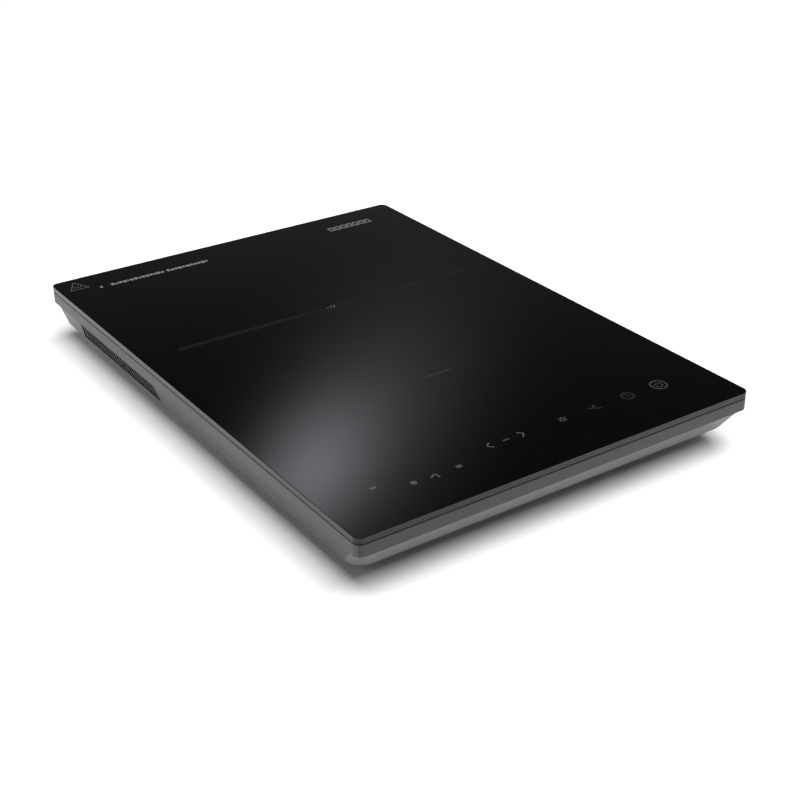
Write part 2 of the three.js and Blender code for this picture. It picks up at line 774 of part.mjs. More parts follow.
function addCoilUnit() {
  const unit = addGroup(0, zoneY);
  const micaHole = sensorHolderRadius + partGap;
  addPiece(unit, 'mica_sheet',
    ring(0, 0, micaRadius, micaHole, micaTopZ - micaThickness, micaTopZ, largeSides), mica());
  addPiece(unit, 'litz_coil', litzCoil(), copper());
  addPiece(unit, 'coil_carrier', coilCarrier(), blackResin());
  for (let i = 0; i < ferriteCount; i++) {
    const angle = ferriteAngle(i);
    const place = [ferriteMiddle * Math.cos(angle), ferriteMiddle * Math.sin(angle), 0];
    addPiece(unit, `ferrite_bar_${i + 1}`, ferriteBar(), ferrite(), place, angle);
  }
  carrierEarPlaces.forEach(([x, y], i) => {
    addPiece(unit, `carrier_screw_${i + 1}`, screwDown(carrierThickness + carrierScrewBite), steel(),
      [x, y, carrierTopZ + touchGap]);
  });
  addPiece(unit, 'temperature_sensor',
    disc(0, 0, sensorRadius, sensorTopZ - sensorThickness, sensorTopZ, smallSides), whiteResin());
  addPiece(unit, 'sensor_holder',
    disc(0, 0, sensorHolderRadius, sensorHolderTopZ - sensorHolderHeight, sensorHolderTopZ), paleSilicone());
  addPiece(unit, 'sensor_spring', sensorSpring(), steel());
}

// ---------- power board, in the front left of the housing ----------

const tallestZ = Math.min(glassBottomZ - partGap, frameBottomZ + tallestRise);
const boardSeatZ = boardTopZ + touchGap;
const heatsinkX = boardRight - heatsinkFromRight - heatsinkLength / 2;
const heatsinkY = boardRear - heatsinkFromRear - heatsinkWidth / 2;
const heatsinkBaseZ = boardSeatZ + powerPackageHeight + touchGap;

function powerBoard() {
  const board = block([boardLeft, boardFront, boardTopZ - boardThickness],
    [boardRight, boardRear, boardTopZ]);
  const holes = boardScrewPlaces.map(([x, y]) =>
    disc(x, y, screwRadius + slideGap, boardTopZ - boardThickness - overcut, boardTopZ + overcut,
      smallSides));
  return board.subtract(union(holes));
}

// Fins run from the fan towards the left, so the air passes along them.
function heatsinkShape() {
  const half = heatsinkWidth / 2;
  const base = brick(0, 0, heatsinkLength, heatsinkWidth, heatsinkBaseZ, heatsinkBaseZ + heatsinkBase);
  const pitch = (heatsinkWidth - heatsinkFinThickness) / (heatsinkFinCount - 1);
  const fins = Array.from({ length: heatsinkFinCount }, (_, i) =>
    brick(0, heatsinkFinThickness / 2 - half + i * pitch, heatsinkLength, heatsinkFinThickness,
      heatsinkBaseZ + heatsinkBase / 2, tallestZ));
  const legs = [-1, 1].map((side) =>
    brick(0, side * (half - heatsinkLegWidth / 2), heatsinkLength, heatsinkLegWidth, boardSeatZ,
      heatsinkBaseZ + heatsinkBase / 2));
  return union([base, ...fins, ...legs]);
}

// A part that stands on the board, from its front left corner.
function onBoard(fromLeft, fromFront, width, depth, height) {
  const x = boardLeft + fromLeft + width / 2;
  const y = boardFront + fromFront + depth / 2;
  return brick(x, y, width, depth, boardSeatZ, boardSeatZ + height);
}

function chokeShape(x, y, outer, inner, height) {
  return ring(x, y, outer, inner, boardSeatZ, boardSeatZ + height);
}

function lyingCylinder(x, y, radius, length) {
  return disc(0, 0, radius, -length / 2, length / 2, smallSides).rotate([0, 90, 0])
    .translate([x, y, boardSeatZ + radius]);
}

function addPowerUnit() {
  const board = group;
  addPiece(board, 'power_board', powerBoard(), boardGreen());
  boardScrewPlaces.forEach(([x, y], i) => {
    addPiece(board, `board_screw_${i + 1}`, screwDown(boardThickness + boardStandoff - boardScrewSpare), steel(),
      [x, y, boardTopZ + touchGap]);
  });
  addPiece(board, 'heatsink', heatsinkShape(), aluminium(), [heatsinkX, heatsinkY, 0]);
  const packageTop = boardSeatZ + powerPackageHeight;
  addPiece(board, 'igbt', brick(heatsinkX + 14, heatsinkY, 16, 21, boardSeatZ, packageTop), blackResin());
  addPiece(board, 'bridge_rectifier', brick(heatsinkX - 14, heatsinkY, 26, 18, boardSeatZ, packageTop),
    blackResin());
  addPiece(board, 'resonant_capacitor', onBoard(2, 52, 32, 17, 15), yellowFilm());
  addPiece(board, 'filter_capacitor', onBoard(2, 33, 26, 14, 13), yellowFilm());
  addPiece(board, 'transformer', onBoard(60, 14, 20, 18, 13), blackResin());
  addPiece(board, 'terminal_block', onBoard(2, 4, 26, 12, 11), whiteResin());
  addPiece(board, 'bus_choke', chokeShape(boardLeft + 46, boardFront + 24, 13, 6, 11), copper());
  addPiece(board, 'mains_fuse', lyingCylinder(boardLeft + 16, boardFront + 24, 3, 22), whiteResin());
  addPiece(board, 'smoothing_capacitor',
    disc(boardLeft + 92, boardFront + 24, 6, boardSeatZ, boardSeatZ + 14, smallSides), blackResin());
}

// ---------- cooling fan, in the front right of the housing ----------

const fanBottomZ = floorTopZ + touchGap;
const impellerBottomZ = fanBottomZ + fanFloor + impellerLift;
const impellerTopZ = impellerBottomZ + impellerHeight;
const fanTopZ = impellerTopZ + impellerHeadroom;
const statorRadius = impellerHubRadius - impellerHubWall - statorAirGap;

// A square scroll, open on the left, with a round inlet under the impeller and three struts to the
// motor plate.
function fanHousing() {
  const half = fanHousingHalf;
  const cavityRadius = impellerRadius + impellerClearance;
  const outer = brick(0, 0, 2 * half, 2 * half, fanBottomZ, fanTopZ);
  const cavity = disc(0, 0, cavityRadius, fanBottomZ + fanFloor, fanTopZ + overcut, cavitySides);
  const outlet = block([-half - overcut, -cavityRadius + fanWall, fanBottomZ + fanFloor],
    [0, fanOutletY, fanTopZ + overcut]);
  const inlet = disc(0, 0, fanInletRadius, fanBottomZ - overcut, fanBottomZ + fanFloor + overcut);
  const struts = [0, 1, 2].map((i) =>
    brick(fanInletRadius / 2 + overlap, 0, fanInletRadius + fanStrutReach, fanStrutWidth, fanBottomZ,
      fanBottomZ + fanFloor)
      .rotate([0, 0, 90 + i * 120]));
  const plate = disc(0, 0, statorRadius, fanBottomZ, fanBottomZ + fanFloor);
  return union([outer.subtract(cavity).subtract(outlet).subtract(inlet), plate, ...struts]);
}

function fanStator() {
  const low = fanBottomZ + fanFloor + touchGap;
  const high = impellerTopZ - impellerHubWall - statorTopGap;
  return ring(0, 0, statorRadius - statorCoreInset, fanShaftRadius + slideGap, low, high);
}

// Hub cup with its shaft, back plate and slanted blades in one moulding.
function fanRotor() {
  const hub = disc(0, 0, impellerHubRadius, impellerBottomZ, impellerTopZ)
    .subtract(disc(0, 0, impellerHubRadius - impellerHubWall, impellerBottomZ - overcut,
      impellerTopZ - impellerHubWall));
  const shaft = disc(0, 0, fanShaftRadius, fanBottomZ + fanFloor + touchGap,
    impellerTopZ - impellerBladeTuck, smallSides);
  const backPlate = ring(0, 0, impellerRadius, impellerHubRadius - impellerPlateOverlap,
    impellerTopZ - impellerPlate, impellerTopZ);
  const bladeLength = impellerRadius - fanInletRadius + impellerBladeReach;
  const bladeTopZ = impellerTopZ - impellerBladeTuck;
  const blade = brick(0, 0, bladeLength, impellerBladeThickness, impellerBottomZ, bladeTopZ)
    .rotate([0, 0, impellerBladeTurn])
    .translate([impellerRadius - bladeLength / 2, 0, 0]);
  const blades = Array.from({ length: impellerBladeCount }, (_, i) =>
    blade.rotate([0, 0, i * 360 / impellerBladeCount]));
  return union([hub, shaft, backPlate, ...blades]);
}

function fanCover() {
  const half = fanHousingHalf;
  return brick(0, 0, 2 * half, 2 * half, fanTopZ + touchGap, fanTopZ + touchGap + fanCoverThickness);
}

function addFanUnit() {
  const unit = addGroup(fanX, fanY);
  addPiece(unit, 'fan_housing', fanHousing(), blackResin());
  addPiece(unit, 'fan_stator', fanStator(), copper());
  addPiece(unit, 'fan_rotor', fanRotor(), blackResin());
  addPiece(unit, 'fan_cover', fanCover(), blackResin());
}

// ---------- control unit, under the front edge of the glass ----------

const touchBoardTopZ = glassBottomZ - touchGap - touchPadHeight - touchGap;
const touchBoardBottomZ = touchBoardTopZ - boardThickness;
const touchBoardHalf = glassWidth / 2 - touchBoardSideInset;
const bracketTopZ = touchBoardBottomZ - touchGap;

// A shallow tray for the touch board, standing on two legs.
function touchBracket() {
  const halfWidth = touchBoardHalf + slideGap + bracketWall;
  const tray = brick(0, controlY, 2 * halfWidth, 2 * bracketHalfDepth, bracketTopZ - bracketThickness,
    bracketTopZ + bracketLip);
  const seat = brick(0, controlY, 2 * (touchBoardHalf + slideGap), touchBoardDepth + 2 * slideGap,
    bracketTopZ, bracketTopZ + bracketLip + overcut);
  const legs = [-1, 1].map((side) =>
    disc(side * (touchBoardHalf - bracketLegInset), controlY, bracketLegRadius, floorTopZ + touchGap,
      bracketTopZ - overlap, smallSides));
  return union([tray.subtract(seat), ...legs]);
}

const flatSection = (width, thickness) => new THREE.Shape([
  new THREE.Vector2(-width / 2, -thickness / 2), new THREE.Vector2(width / 2, -thickness / 2),
  new THREE.Vector2(width / 2, thickness / 2), new THREE.Vector2(-width / 2, thickness / 2)]);

const routed = (points) => new THREE.CatmullRomCurve3(points.map((p) => new THREE.Vector3(...p)), false,
  'centripetal');

const ribbonX = boardLeft + 96;
const ribbonWidth = 10;
const ribbonThickness = 0.8;

function ribbonCable() {
  const start = bracketTopZ - bracketThickness - 2 * touchGap - ribbonThickness;
  const rearOfBoard = controlY + touchBoardDepth / 2;
  const landing = boardSeatZ + touchGap + ribbonThickness;
  return swept(routed([
    [ribbonX, rearOfBoard - 12, start],
    [ribbonX, rearOfBoard - 4, start],
    [ribbonX, (rearOfBoard + boardFront) / 2, (start + landing) / 2],
    [ribbonX, boardFront + 4, landing],
    [ribbonX, boardFront + 12, landing],
  ]), 12, flatSection(ribbonWidth, ribbonThickness));
}

function addControlUnit() {
  addPiece(group, 'touch_board',
    brick(0, controlY, 2 * touchBoardHalf, touchBoardDepth, touchBoardBottomZ, touchBoardTopZ), boardGreen());
  addPiece(group, 'touch_bracket', touchBracket(), blackResin());
  addPiece(group, 'display_module',
    brick(displayX, controlY - displayForward, displayLength, displayWidth, touchBoardTopZ + touchGap,
      glassBottomZ - touchGap), whiteResin());
  touchMarkX.forEach((x, i) => {
    addPiece(group, `touch_pad_${i + 1}`,
      disc(0, 0, touchPadRadius, touchBoardTopZ + touchGap, glassBottomZ - touchGap, smallSides),
      darkRubber(), [x, controlY, 0]);
  });
  addPiece(group, 'buzzer',
    disc(touchMarkX[0] + buzzerRight, controlY - buzzerForward, buzzerRadius, touchBoardTopZ + touchGap,
      touchBoardTopZ + touchGap + buzzerHeight, smallSides), blackResin());
  addPiece(group, 'ribbon_cable', ribbonCable(), whiteResin());
}

// ---------- coil leads ----------

// From the underside of the coil, through the carrier and down to the front left of the board.
function coilLead(fromX, toX) {
  const top = coilTopZ - coilWireHeight - touchGap;
  return swept(routed([
    [fromX, zoneY, top],
    [fromX, zoneY, carrierBottomZ - ferriteHeight / 2],
    [fromX, zoneY - 12, carrierBottomZ - 2 * ferriteHeight],
    [toX, boardRear + 16, floorTopZ + 7],
    [toX, boardRear + 4, boardSeatZ + leadRadius + 3],
    [toX, boardRear - 6, boardSeatZ + leadRadius],
  ]), 26, roundSection(leadRadius, 8));
}

function addCoilLeads() {
  const [innerX, outerX] = coilLeadX;
  const heatsinkLeft = heatsinkX - heatsinkLength / 2;
  addPiece(group, 'coil_lead_inner', coilLead(innerX, heatsinkLeft - 6 * leadRadius), copper());
  addPiece(group, 'coil_lead_outer', coilLead(outerX, heatsinkLeft - 14 * leadRadius), copper());
}

addShell();
addCoilUnit();
addPowerUnit();
addFanUnit();
addControlUnit();
addCoilLeads();

export default group;
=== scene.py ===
# %% [markdown]
# # A portable induction cooktop
# The object is a slim hob: a sheet of black glass bonded to a thin frame, a shallow grey tray below it, and the
# coil, the boards and the fan inside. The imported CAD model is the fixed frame. Each visible part gets a finer
# shape in the same place, or keeps its CAD mesh, and every surface gets a finish made of nodes.

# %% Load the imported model
import math

import bmesh
import bpy
from mathutils import Matrix, Vector


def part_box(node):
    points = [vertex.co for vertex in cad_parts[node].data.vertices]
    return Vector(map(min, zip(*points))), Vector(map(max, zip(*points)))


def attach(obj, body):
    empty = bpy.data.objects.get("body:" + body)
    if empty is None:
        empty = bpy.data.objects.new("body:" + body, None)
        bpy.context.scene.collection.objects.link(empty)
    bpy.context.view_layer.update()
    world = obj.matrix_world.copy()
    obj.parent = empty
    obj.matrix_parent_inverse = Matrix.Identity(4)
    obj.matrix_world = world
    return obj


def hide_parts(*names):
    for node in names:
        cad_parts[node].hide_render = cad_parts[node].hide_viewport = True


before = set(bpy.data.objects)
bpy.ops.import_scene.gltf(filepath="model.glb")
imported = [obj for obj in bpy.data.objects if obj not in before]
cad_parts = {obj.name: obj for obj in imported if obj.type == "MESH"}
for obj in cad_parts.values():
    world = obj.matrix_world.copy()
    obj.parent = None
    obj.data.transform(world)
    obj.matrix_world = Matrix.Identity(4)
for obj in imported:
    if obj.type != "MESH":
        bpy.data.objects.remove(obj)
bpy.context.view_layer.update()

MM = 0.001

# %% [markdown]
# ## Camera
# The camera stands at the front left, a little above the hob, and looks down across it. A matrix built from a turn,
# a tilt and a slight roll keeps the place and the direction apart, so either can be changed alone.

# %% Make the camera
CAMERA_PLACE = (-0.4803, -0.7307, 0.4534)
CAMERA_TURN = math.radians(-34.477)
CAMERA_DOWN = math.radians(28.050)
CAMERA_ROLL = math.radians(-0.266)

camera_data = bpy.data.cameras.new("camera")
camera_data.sensor_width = 36
camera_data.lens = 64.93
camera_data.clip_start = 0.01
camera = bpy.data.objects.new("camera", camera_data)
bpy.context.scene.collection.objects.link(camera)
camera.matrix_world = (
    Matrix.Translation(CAMERA_PLACE)
    @ Matrix.Rotation(CAMERA_TURN, 4, "Z")
    @ Matrix.Rotation(math.pi / 2 - CAMERA_DOWN, 4, "X")
    @ Matrix.Rotation(CAMERA_ROLL, 4, "Z")
)
bpy.context.scene.camera = camera
bpy.context.scene.view_settings.view_transform = "Standard"
bpy.context.scene.view_settings.look = "None"
print("lens", camera_data.lens, "mm")

# %% [markdown]
# ## Building with nodes
# Shader trees are long when they are written out node by node. Two small helpers keep them readable: one feeds a
# socket from a number or from another node, and one makes a Math node and returns its result.

# %% Helpers for node trees
def feed(tree, socket, value):
    if isinstance(value, bpy.types.NodeSocket):
        tree.links.new(value, socket)
    else:
        socket.default_value = value


def calc(tree, operation, *values, clamp=False):
    node = tree.nodes.new("ShaderNodeMath")
    node.operation = operation
    node.use_clamp = clamp
    for socket, value in zip(node.inputs, values):
        feed(tree, socket, value)
    return node.outputs[0]


def node_of(tree, kind, settings=None, **inputs):
    node = tree.nodes.new(kind)
    for key, value in (settings or {}).items():
        setattr(node, key, value)
    for key, value in inputs.items():
        feed(tree, node.inputs[key.replace("_", " ")], value)
    return node


def new_group(name, inputs, outputs):
    group = bpy.data.node_groups.new(name, "ShaderNodeTree")
    for key, value in inputs.items():
        kind = "NodeSocketFloat" if isinstance(value, (int, float)) else "NodeSocketColor"
        group.interface.new_socket(name=key, in_out="INPUT", socket_type=kind).default_value = value
    for key, kind in outputs.items():
        group.interface.new_socket(name=key, in_out="OUTPUT", socket_type=kind)
    return group, group.nodes.new("NodeGroupInput").outputs, group.nodes.new("NodeGroupOutput").inputs


def use_group(tree, group, **inputs):
    node = tree.nodes.new("ShaderNodeGroup")
    node.node_tree = group
    for key, value in inputs.items():
        feed(tree, node.inputs[key.replace("_", " ")], value)
    return node.outputs


# %% [markdown]
# ## What the glass mirrors
# Polished black glass shows almost nothing of its own: what is seen is the studio around it. A real photographer
# hangs one small diffused lamp behind the object, and its blurred shape lies across the glass as a soft glow.
# The glow is a bell curve over the direction of a ray, which has no hard edge and makes no noise. It is built once
# as a group, and placed several times with its own direction, size and strength.

# %% A soft glow by direction
glow_group, g_in, g_out = new_group(
    "soft_glow",
    {"Azimuth": 0.0, "Elevation": 0.0, "At Azimuth": 0.0, "At Elevation": 0.0, "Length": 1.0, "Breadth": 1.0,
     "Turn": 0.0, "Strength": 1.0},
    {"Glow": "NodeSocketFloat"},
)
across = calc(glow_group, "SUBTRACT", g_in["Azimuth"], g_in["At Azimuth"])
upward = calc(glow_group, "SUBTRACT", g_in["Elevation"], g_in["At Elevation"])
cosine = calc(glow_group, "COSINE", g_in["Turn"])
sine = calc(glow_group, "SINE", g_in["Turn"])
along = calc(glow_group, "ADD", calc(glow_group, "MULTIPLY", across, cosine),
             calc(glow_group, "MULTIPLY", upward, sine))
aside = calc(glow_group, "SUBTRACT", calc(glow_group, "MULTIPLY", upward, cosine),
             calc(glow_group, "MULTIPLY", across, sine))
far_along = calc(glow_group, "POWER", calc(glow_group, "ABSOLUTE", calc(glow_group, "DIVIDE", along, g_in["Length"])), 2.0)
far_aside = calc(glow_group, "POWER", calc(glow_group, "ABSOLUTE", calc(glow_group, "DIVIDE", aside, g_in["Breadth"])), 2.0)
falloff = calc(glow_group, "EXPONENT", calc(glow_group, "MULTIPLY", calc(glow_group, "ADD", far_along, far_aside), -1.0))
feed(glow_group, g_out["Glow"], calc(glow_group, "MULTIPLY", falloff, g_in["Strength"]))

# %% [markdown]
# ## The studio
# A ray that leaves the scene finds a white backdrop if it comes straight from the camera, a weak even light if it
# comes from a matt surface, and the dim studio with its glows if it comes from a glossy one.

# %% World light
DOME_LIGHT = 0.09
SIDE_FILL = 0.02
BACKDROP = 1.08
STUDIO_DIM = 0.022
HORIZON_BAND = (0.235, math.radians(10), math.radians(9.9))
HORIZON_LINE = (0.80, 0.0, math.radians(3.2))
# strength, azimuth from +Y towards +X, elevation, length, breadth and turn, in degrees
GLOWS = [
    (1.41, 30.2, 31.1, 3.2, 2.0, -40.0),
    (0.34, 32.7, 29.6, 5.4, 3.4, -49.0),
    (0.50, 152.0, 40.0, 9.0, 4.0, 25.0),
    (0.50, -95.0, 38.0, 8.0, 4.0, -20.0),
]

world = bpy.data.worlds.new("studio")
bpy.context.scene.world = world
world.use_nodes = True
sky = world.node_tree
sky.nodes.clear()
direction = node_of(sky, "ShaderNodeSeparateXYZ", Vector=node_of(sky, "ShaderNodeTexCoord").outputs["Generated"])
azimuth = calc(sky, "ARCTAN2", direction.outputs["X"], direction.outputs["Y"])
elevation = calc(sky, "ARCSINE", direction.outputs["Z"])
mirrored = STUDIO_DIM
for strength, level, spread in (HORIZON_BAND, HORIZON_LINE):
    height = calc(sky, "DIVIDE", calc(sky, "SUBTRACT", elevation, level), spread)
    band = calc(sky, "EXPONENT", calc(sky, "MULTIPLY", calc(sky, "MULTIPLY", height, height), -1.0))
    mirrored = calc(sky, "MULTIPLY_ADD", band, strength, mirrored)
for strength, at_azimuth, at_elevation, length, breadth, turn in GLOWS:
    glow = use_group(sky, glow_group, Azimuth=azimuth, Elevation=elevation, At_Azimuth=math.radians(at_azimuth),
                     At_Elevation=math.radians(at_elevation), Length=math.radians(length),
                     Breadth=math.radians(breadth), Turn=math.radians(turn), Strength=strength)
    mirrored = calc(sky, "ADD", mirrored, glow["Glow"])

leftward = calc(sky, "MAXIMUM", calc(sky, "MULTIPLY", direction.outputs["X"], -1.0), 0.0)
low_down = calc(sky, "SUBTRACT", 1.0, calc(sky, "ABSOLUTE", direction.outputs["Z"]))
fill = calc(sky, "MULTIPLY_ADD", calc(sky, "MULTIPLY", leftward, low_down), SIDE_FILL, DOME_LIGHT)
rays = node_of(sky, "ShaderNodeLightPath").outputs
light = node_of(sky, "ShaderNodeMix", {"data_type": "FLOAT"}, Factor=rays["Is Diffuse Ray"], A=mirrored, B=fill)
light = node_of(sky, "ShaderNodeMix", {"data_type": "FLOAT"}, Factor=rays["Is Camera Ray"], A=light.outputs[0],
                B=BACKDROP)
tint = node_of(sky, "ShaderNodeBackground", Color=(0.945, 0.972, 1.03, 1.0), Strength=light.outputs[0])
sky.links.new(tint.outputs[0], node_of(sky, "ShaderNodeOutputWorld").inputs["Surface"])
print("glows in the glass:", len(GLOWS))

# %% [markdown]
# One wide softbox overhead lights the floor and the tops of things, and a small lamp at the rear left keeps the
# shadow beside the hob open. Both are hidden from glossy rays, so the glass stays black from every side and only
# the glows above show in it.

# %% Softbox and floor
SOFTBOX_SIZE = 3.2
SOFTBOX_HEIGHT = 2.4
SOFTBOX_POWER = 150
SOFTBOX_PLACE = (0.55, -0.45)
FILL_PLACE = (-0.60, 0.60, 0.35)
FILL_AIM = (-0.15, 0.10, 0.0)
FILL_SIZE = 0.3
FILL_POWER = 1.0
FLOOR_HALF = 1.9

softbox_data = bpy.data.lights.new("softbox", "AREA")
softbox_data.shape = "SQUARE"
softbox_data.size = SOFTBOX_SIZE
softbox_data.energy = SOFTBOX_POWER
softbox = bpy.data.objects.new("softbox", softbox_data)
softbox.location = (*SOFTBOX_PLACE, SOFTBOX_HEIGHT)
softbox.visible_glossy = False
softbox.visible_camera = False
bpy.context.scene.collection.objects.link(softbox)

fill_data = bpy.data.lights.new("fill", "AREA")
fill_data.size = FILL_SIZE
fill_data.energy = FILL_POWER
fill_lamp = bpy.data.objects.new("fill", fill_data)
fill_lamp.location = FILL_PLACE
fill_lamp.rotation_euler = (Vector(FILL_AIM) - Vector(FILL_PLACE)).to_track_quat("-Z", "Y").to_euler()
fill_lamp.visible_glossy = False
fill_lamp.visible_camera = False
bpy.context.scene.collection.objects.link(fill_lamp)


def object_from(name, mesh):
    made = bpy.data.objects.new(name, mesh)
    bpy.context.scene.collection.objects.link(made)
    return made


floor_mesh = bpy.data.meshes.new("floor")
floor_mesh.from_pydata([(-FLOOR_HALF, -FLOOR_HALF, 0), (FLOOR_HALF, -FLOOR_HALF, 0), (FLOOR_HALF, FLOOR_HALF, 0),
                        (-FLOOR_HALF, FLOOR_HALF, 0)], [], [(0, 1, 2, 3)])
floor = object_from("floor", floor_mesh)

# %% [markdown]
# ## Shared surface effects
# Three effects come back in most finishes. **Grain** is the fine texture that a mould or a brush leaves. **Edge
# wear** finds corners: the rounded normal of the Bevel node turns away from the true normal only near an edge.
# **Dust** settles on what faces up. Each is a group that gives a mask or a height, and the shader stays outside.

# %% Grain
grain_group, g_in, g_out = new_group(
    "grain",
    {"Scale": 900.0, "Stretch X": 1.0, "Stretch Y": 1.0, "Stretch Z": 1.0, "Broad Scale": 18.0},
    {"Height": "NodeSocketFloat", "Broad": "NodeSocketFloat"},
)
here = node_of(grain_group, "ShaderNodeTexCoord").outputs["Object"]
stretch = node_of(grain_group, "ShaderNodeCombineXYZ", X=g_in["Stretch X"], Y=g_in["Stretch Y"], Z=g_in["Stretch Z"])
stretched = node_of(grain_group, "ShaderNodeVectorMath", {"operation": "MULTIPLY"})
feed(grain_group, stretched.inputs[0], here)
feed(grain_group, stretched.inputs[1], stretch.outputs[0])
fine = node_of(grain_group, "ShaderNodeTexNoise", Vector=stretched.outputs[0], Scale=g_in["Scale"], Detail=3.0,
               Roughness=0.6)
broad = node_of(grain_group, "ShaderNodeTexNoise", Vector=here, Scale=g_in["Broad Scale"], Detail=4.0,
                Roughness=0.55)
feed(grain_group, g_out["Height"], fine.outputs[0])
feed(grain_group, g_out["Broad"], broad.outputs[0])

# %% Edge wear
wear_group, g_in, g_out = new_group(
    "edge_wear",
    {"Radius": 0.0006, "Amount": 1.0, "Breakup Scale": 160.0},
    {"Mask": "NodeSocketFloat"},
)
rounded = node_of(wear_group, "ShaderNodeBevel", {"samples": 4}, Radius=g_in["Radius"])
facing = node_of(wear_group, "ShaderNodeVectorMath", {"operation": "DOT_PRODUCT"})
feed(wear_group, facing.inputs[0], rounded.outputs[0])
feed(wear_group, facing.inputs[1], node_of(wear_group, "ShaderNodeNewGeometry").outputs["Normal"])
turned_away = calc(wear_group, "MULTIPLY", calc(wear_group, "SUBTRACT", 1.0, facing.outputs["Value"]), 5.0, clamp=True)
breakup = node_of(wear_group, "ShaderNodeTexNoise", Vector=node_of(wear_group, "ShaderNodeTexCoord").outputs["Object"],
                  Scale=g_in["Breakup Scale"], Detail=3.0)
patches = node_of(wear_group, "ShaderNodeMapRange", {"interpolation_type": "SMOOTHSTEP"}, Value=breakup.outputs[0],
                  From_Min=0.38, From_Max=0.62)
worn = calc(wear_group, "MULTIPLY", turned_away, patches.outputs[0])
feed(wear_group, g_out["Mask"], calc(wear_group, "MULTIPLY", worn, g_in["Amount"], clamp=True))

# %% Dust
dust_group, g_in, g_out = new_group(
    "dust",
    {"Amount": 0.2, "Scale": 140.0},
    {"Mask": "NodeSocketFloat"},
)
dust_up = node_of(dust_group, "ShaderNodeSeparateXYZ",
                  Vector=node_of(dust_group, "ShaderNodeNewGeometry").outputs["Normal"])
dust_noise = node_of(dust_group, "ShaderNodeTexNoise",
                     Vector=node_of(dust_group, "ShaderNodeTexCoord").outputs["Object"], Scale=g_in["Scale"],
                     Detail=5.0, Roughness=0.7)
specks = node_of(dust_group, "ShaderNodeMapRange", {"interpolation_type": "SMOOTHSTEP"}, Value=dust_noise.outputs[0],
                 From_Min=0.52, From_Max=0.78)
settled = calc(dust_group, "MULTIPLY", specks.outputs[0], calc(dust_group, "MAXIMUM", dust_up.outputs["Z"], 0.0))
feed(dust_group, g_out["Mask"], calc(dust_group, "MULTIPLY", settled, g_in["Amount"], clamp=True))

# %% [markdown]
# ## Finishes
# Nearly every finish here is the same recipe with other values: two close colours mixed by broad noise, a
# roughness that drifts, a fine bump, a lighter tone on worn edges and a little dust. A function holds the recipe.
# Anything that is even all over, such as how metallic the surface is, is set on the shader itself.

# %% The recipe for a finish
DUST_COLOUR = (0.34, 0.33, 0.31, 1.0)


def finish(name, colour, other, roughness, metallic=0.0, scale=900.0, stretch=(1, 1, 1), broad=18.0, bump=0.25,
           depth=0.00002, wear=None, wear_amount=0.5, wear_radius=0.0006, dust=0.1, specular=0.5, coat=0.0,
           shade=None):
    material = bpy.data.materials.new(name)
    material.use_nodes = True
    tree = material.node_tree
    tree.nodes.clear()
    shader = tree.nodes.new("ShaderNodeBsdfPrincipled")
    tree.links.new(shader.outputs[0], tree.nodes.new("ShaderNodeOutputMaterial").inputs["Surface"])
    shader.inputs["Metallic"].default_value = metallic
    shader.inputs["Specular IOR Level"].default_value = specular
    shader.inputs["Coat Weight"].default_value = coat
    shader.inputs["Coat Roughness"].default_value = 0.12
    grain = use_group(tree, grain_group, Scale=scale, Stretch_X=stretch[0], Stretch_Y=stretch[1],
                      Stretch_Z=stretch[2], Broad_Scale=broad)
    drift = node_of(tree, "ShaderNodeMapRange", Value=grain["Broad"], From_Min=0.3, From_Max=0.7)
    tone = node_of(tree, "ShaderNodeMix", {"data_type": "RGBA"})
    feed(tree, tone.inputs[0], drift.outputs[0])
    feed(tree, tone.inputs[6], (*colour, 1.0))
    feed(tree, tone.inputs[7], (*other, 1.0))
    result = tone.outputs[2]
    layers = []
    if wear:
        worn = use_group(tree, wear_group, Radius=wear_radius, Amount=wear_amount)
        layers.append((worn["Mask"], (*wear, 1.0)))
    if dust:
        layers.append((use_group(tree, dust_group, Amount=dust)["Mask"], DUST_COLOUR))
    for mask, layer_colour in layers:
        layer = node_of(tree, "ShaderNodeMix", {"data_type": "RGBA"})
        feed(tree, layer.inputs[0], mask)
        feed(tree, layer.inputs[6], result)
        feed(tree, layer.inputs[7], layer_colour)
        result = layer.outputs[2]
    if shade:
        strength = node_of(tree, "ShaderNodeAttribute", {"attribute_name": shade}).outputs["Fac"]
        shaded = node_of(tree, "ShaderNodeVectorMath", {"operation": "SCALE"}, Scale=strength)
        feed(tree, shaded.inputs[0], result)
        result = shaded.outputs[0]
    feed(tree, shader.inputs["Base Color"], result)
    mixed = calc(tree, "MULTIPLY_ADD", grain["Height"], 0.35, calc(tree, "MULTIPLY", grain["Broad"], 0.65))
    rough = node_of(tree, "ShaderNodeMapRange", Value=mixed, From_Min=0.3, From_Max=0.7, To_Min=roughness[0],
                    To_Max=roughness[1])
    feed(tree, shader.inputs["Roughness"], rough.outputs[0])
    relief = node_of(tree, "ShaderNodeBump", Strength=bump, Distance=depth, Height=grain["Height"])
    feed(tree, shader.inputs["Normal"], relief.outputs[0])
    return material


# %% [markdown]
# The floor is a matt white sweep. The glass is nearly black and mirrors sharply, with the faintest smears. Its
# ground edge is the same glass, but a little frosted, so it catches the white floor as a pale line. The shell is
# a grey, fine-grained moulding with softly lighter corners.

# %% Finishes of the outside
floor_finish = finish("floor_white", (0.88, 0.88, 0.88), (0.90, 0.90, 0.90), (0.7, 0.8), scale=60, bump=0.05,
                      dust=0, specular=0.2)
floor.data.materials.append(floor_finish)

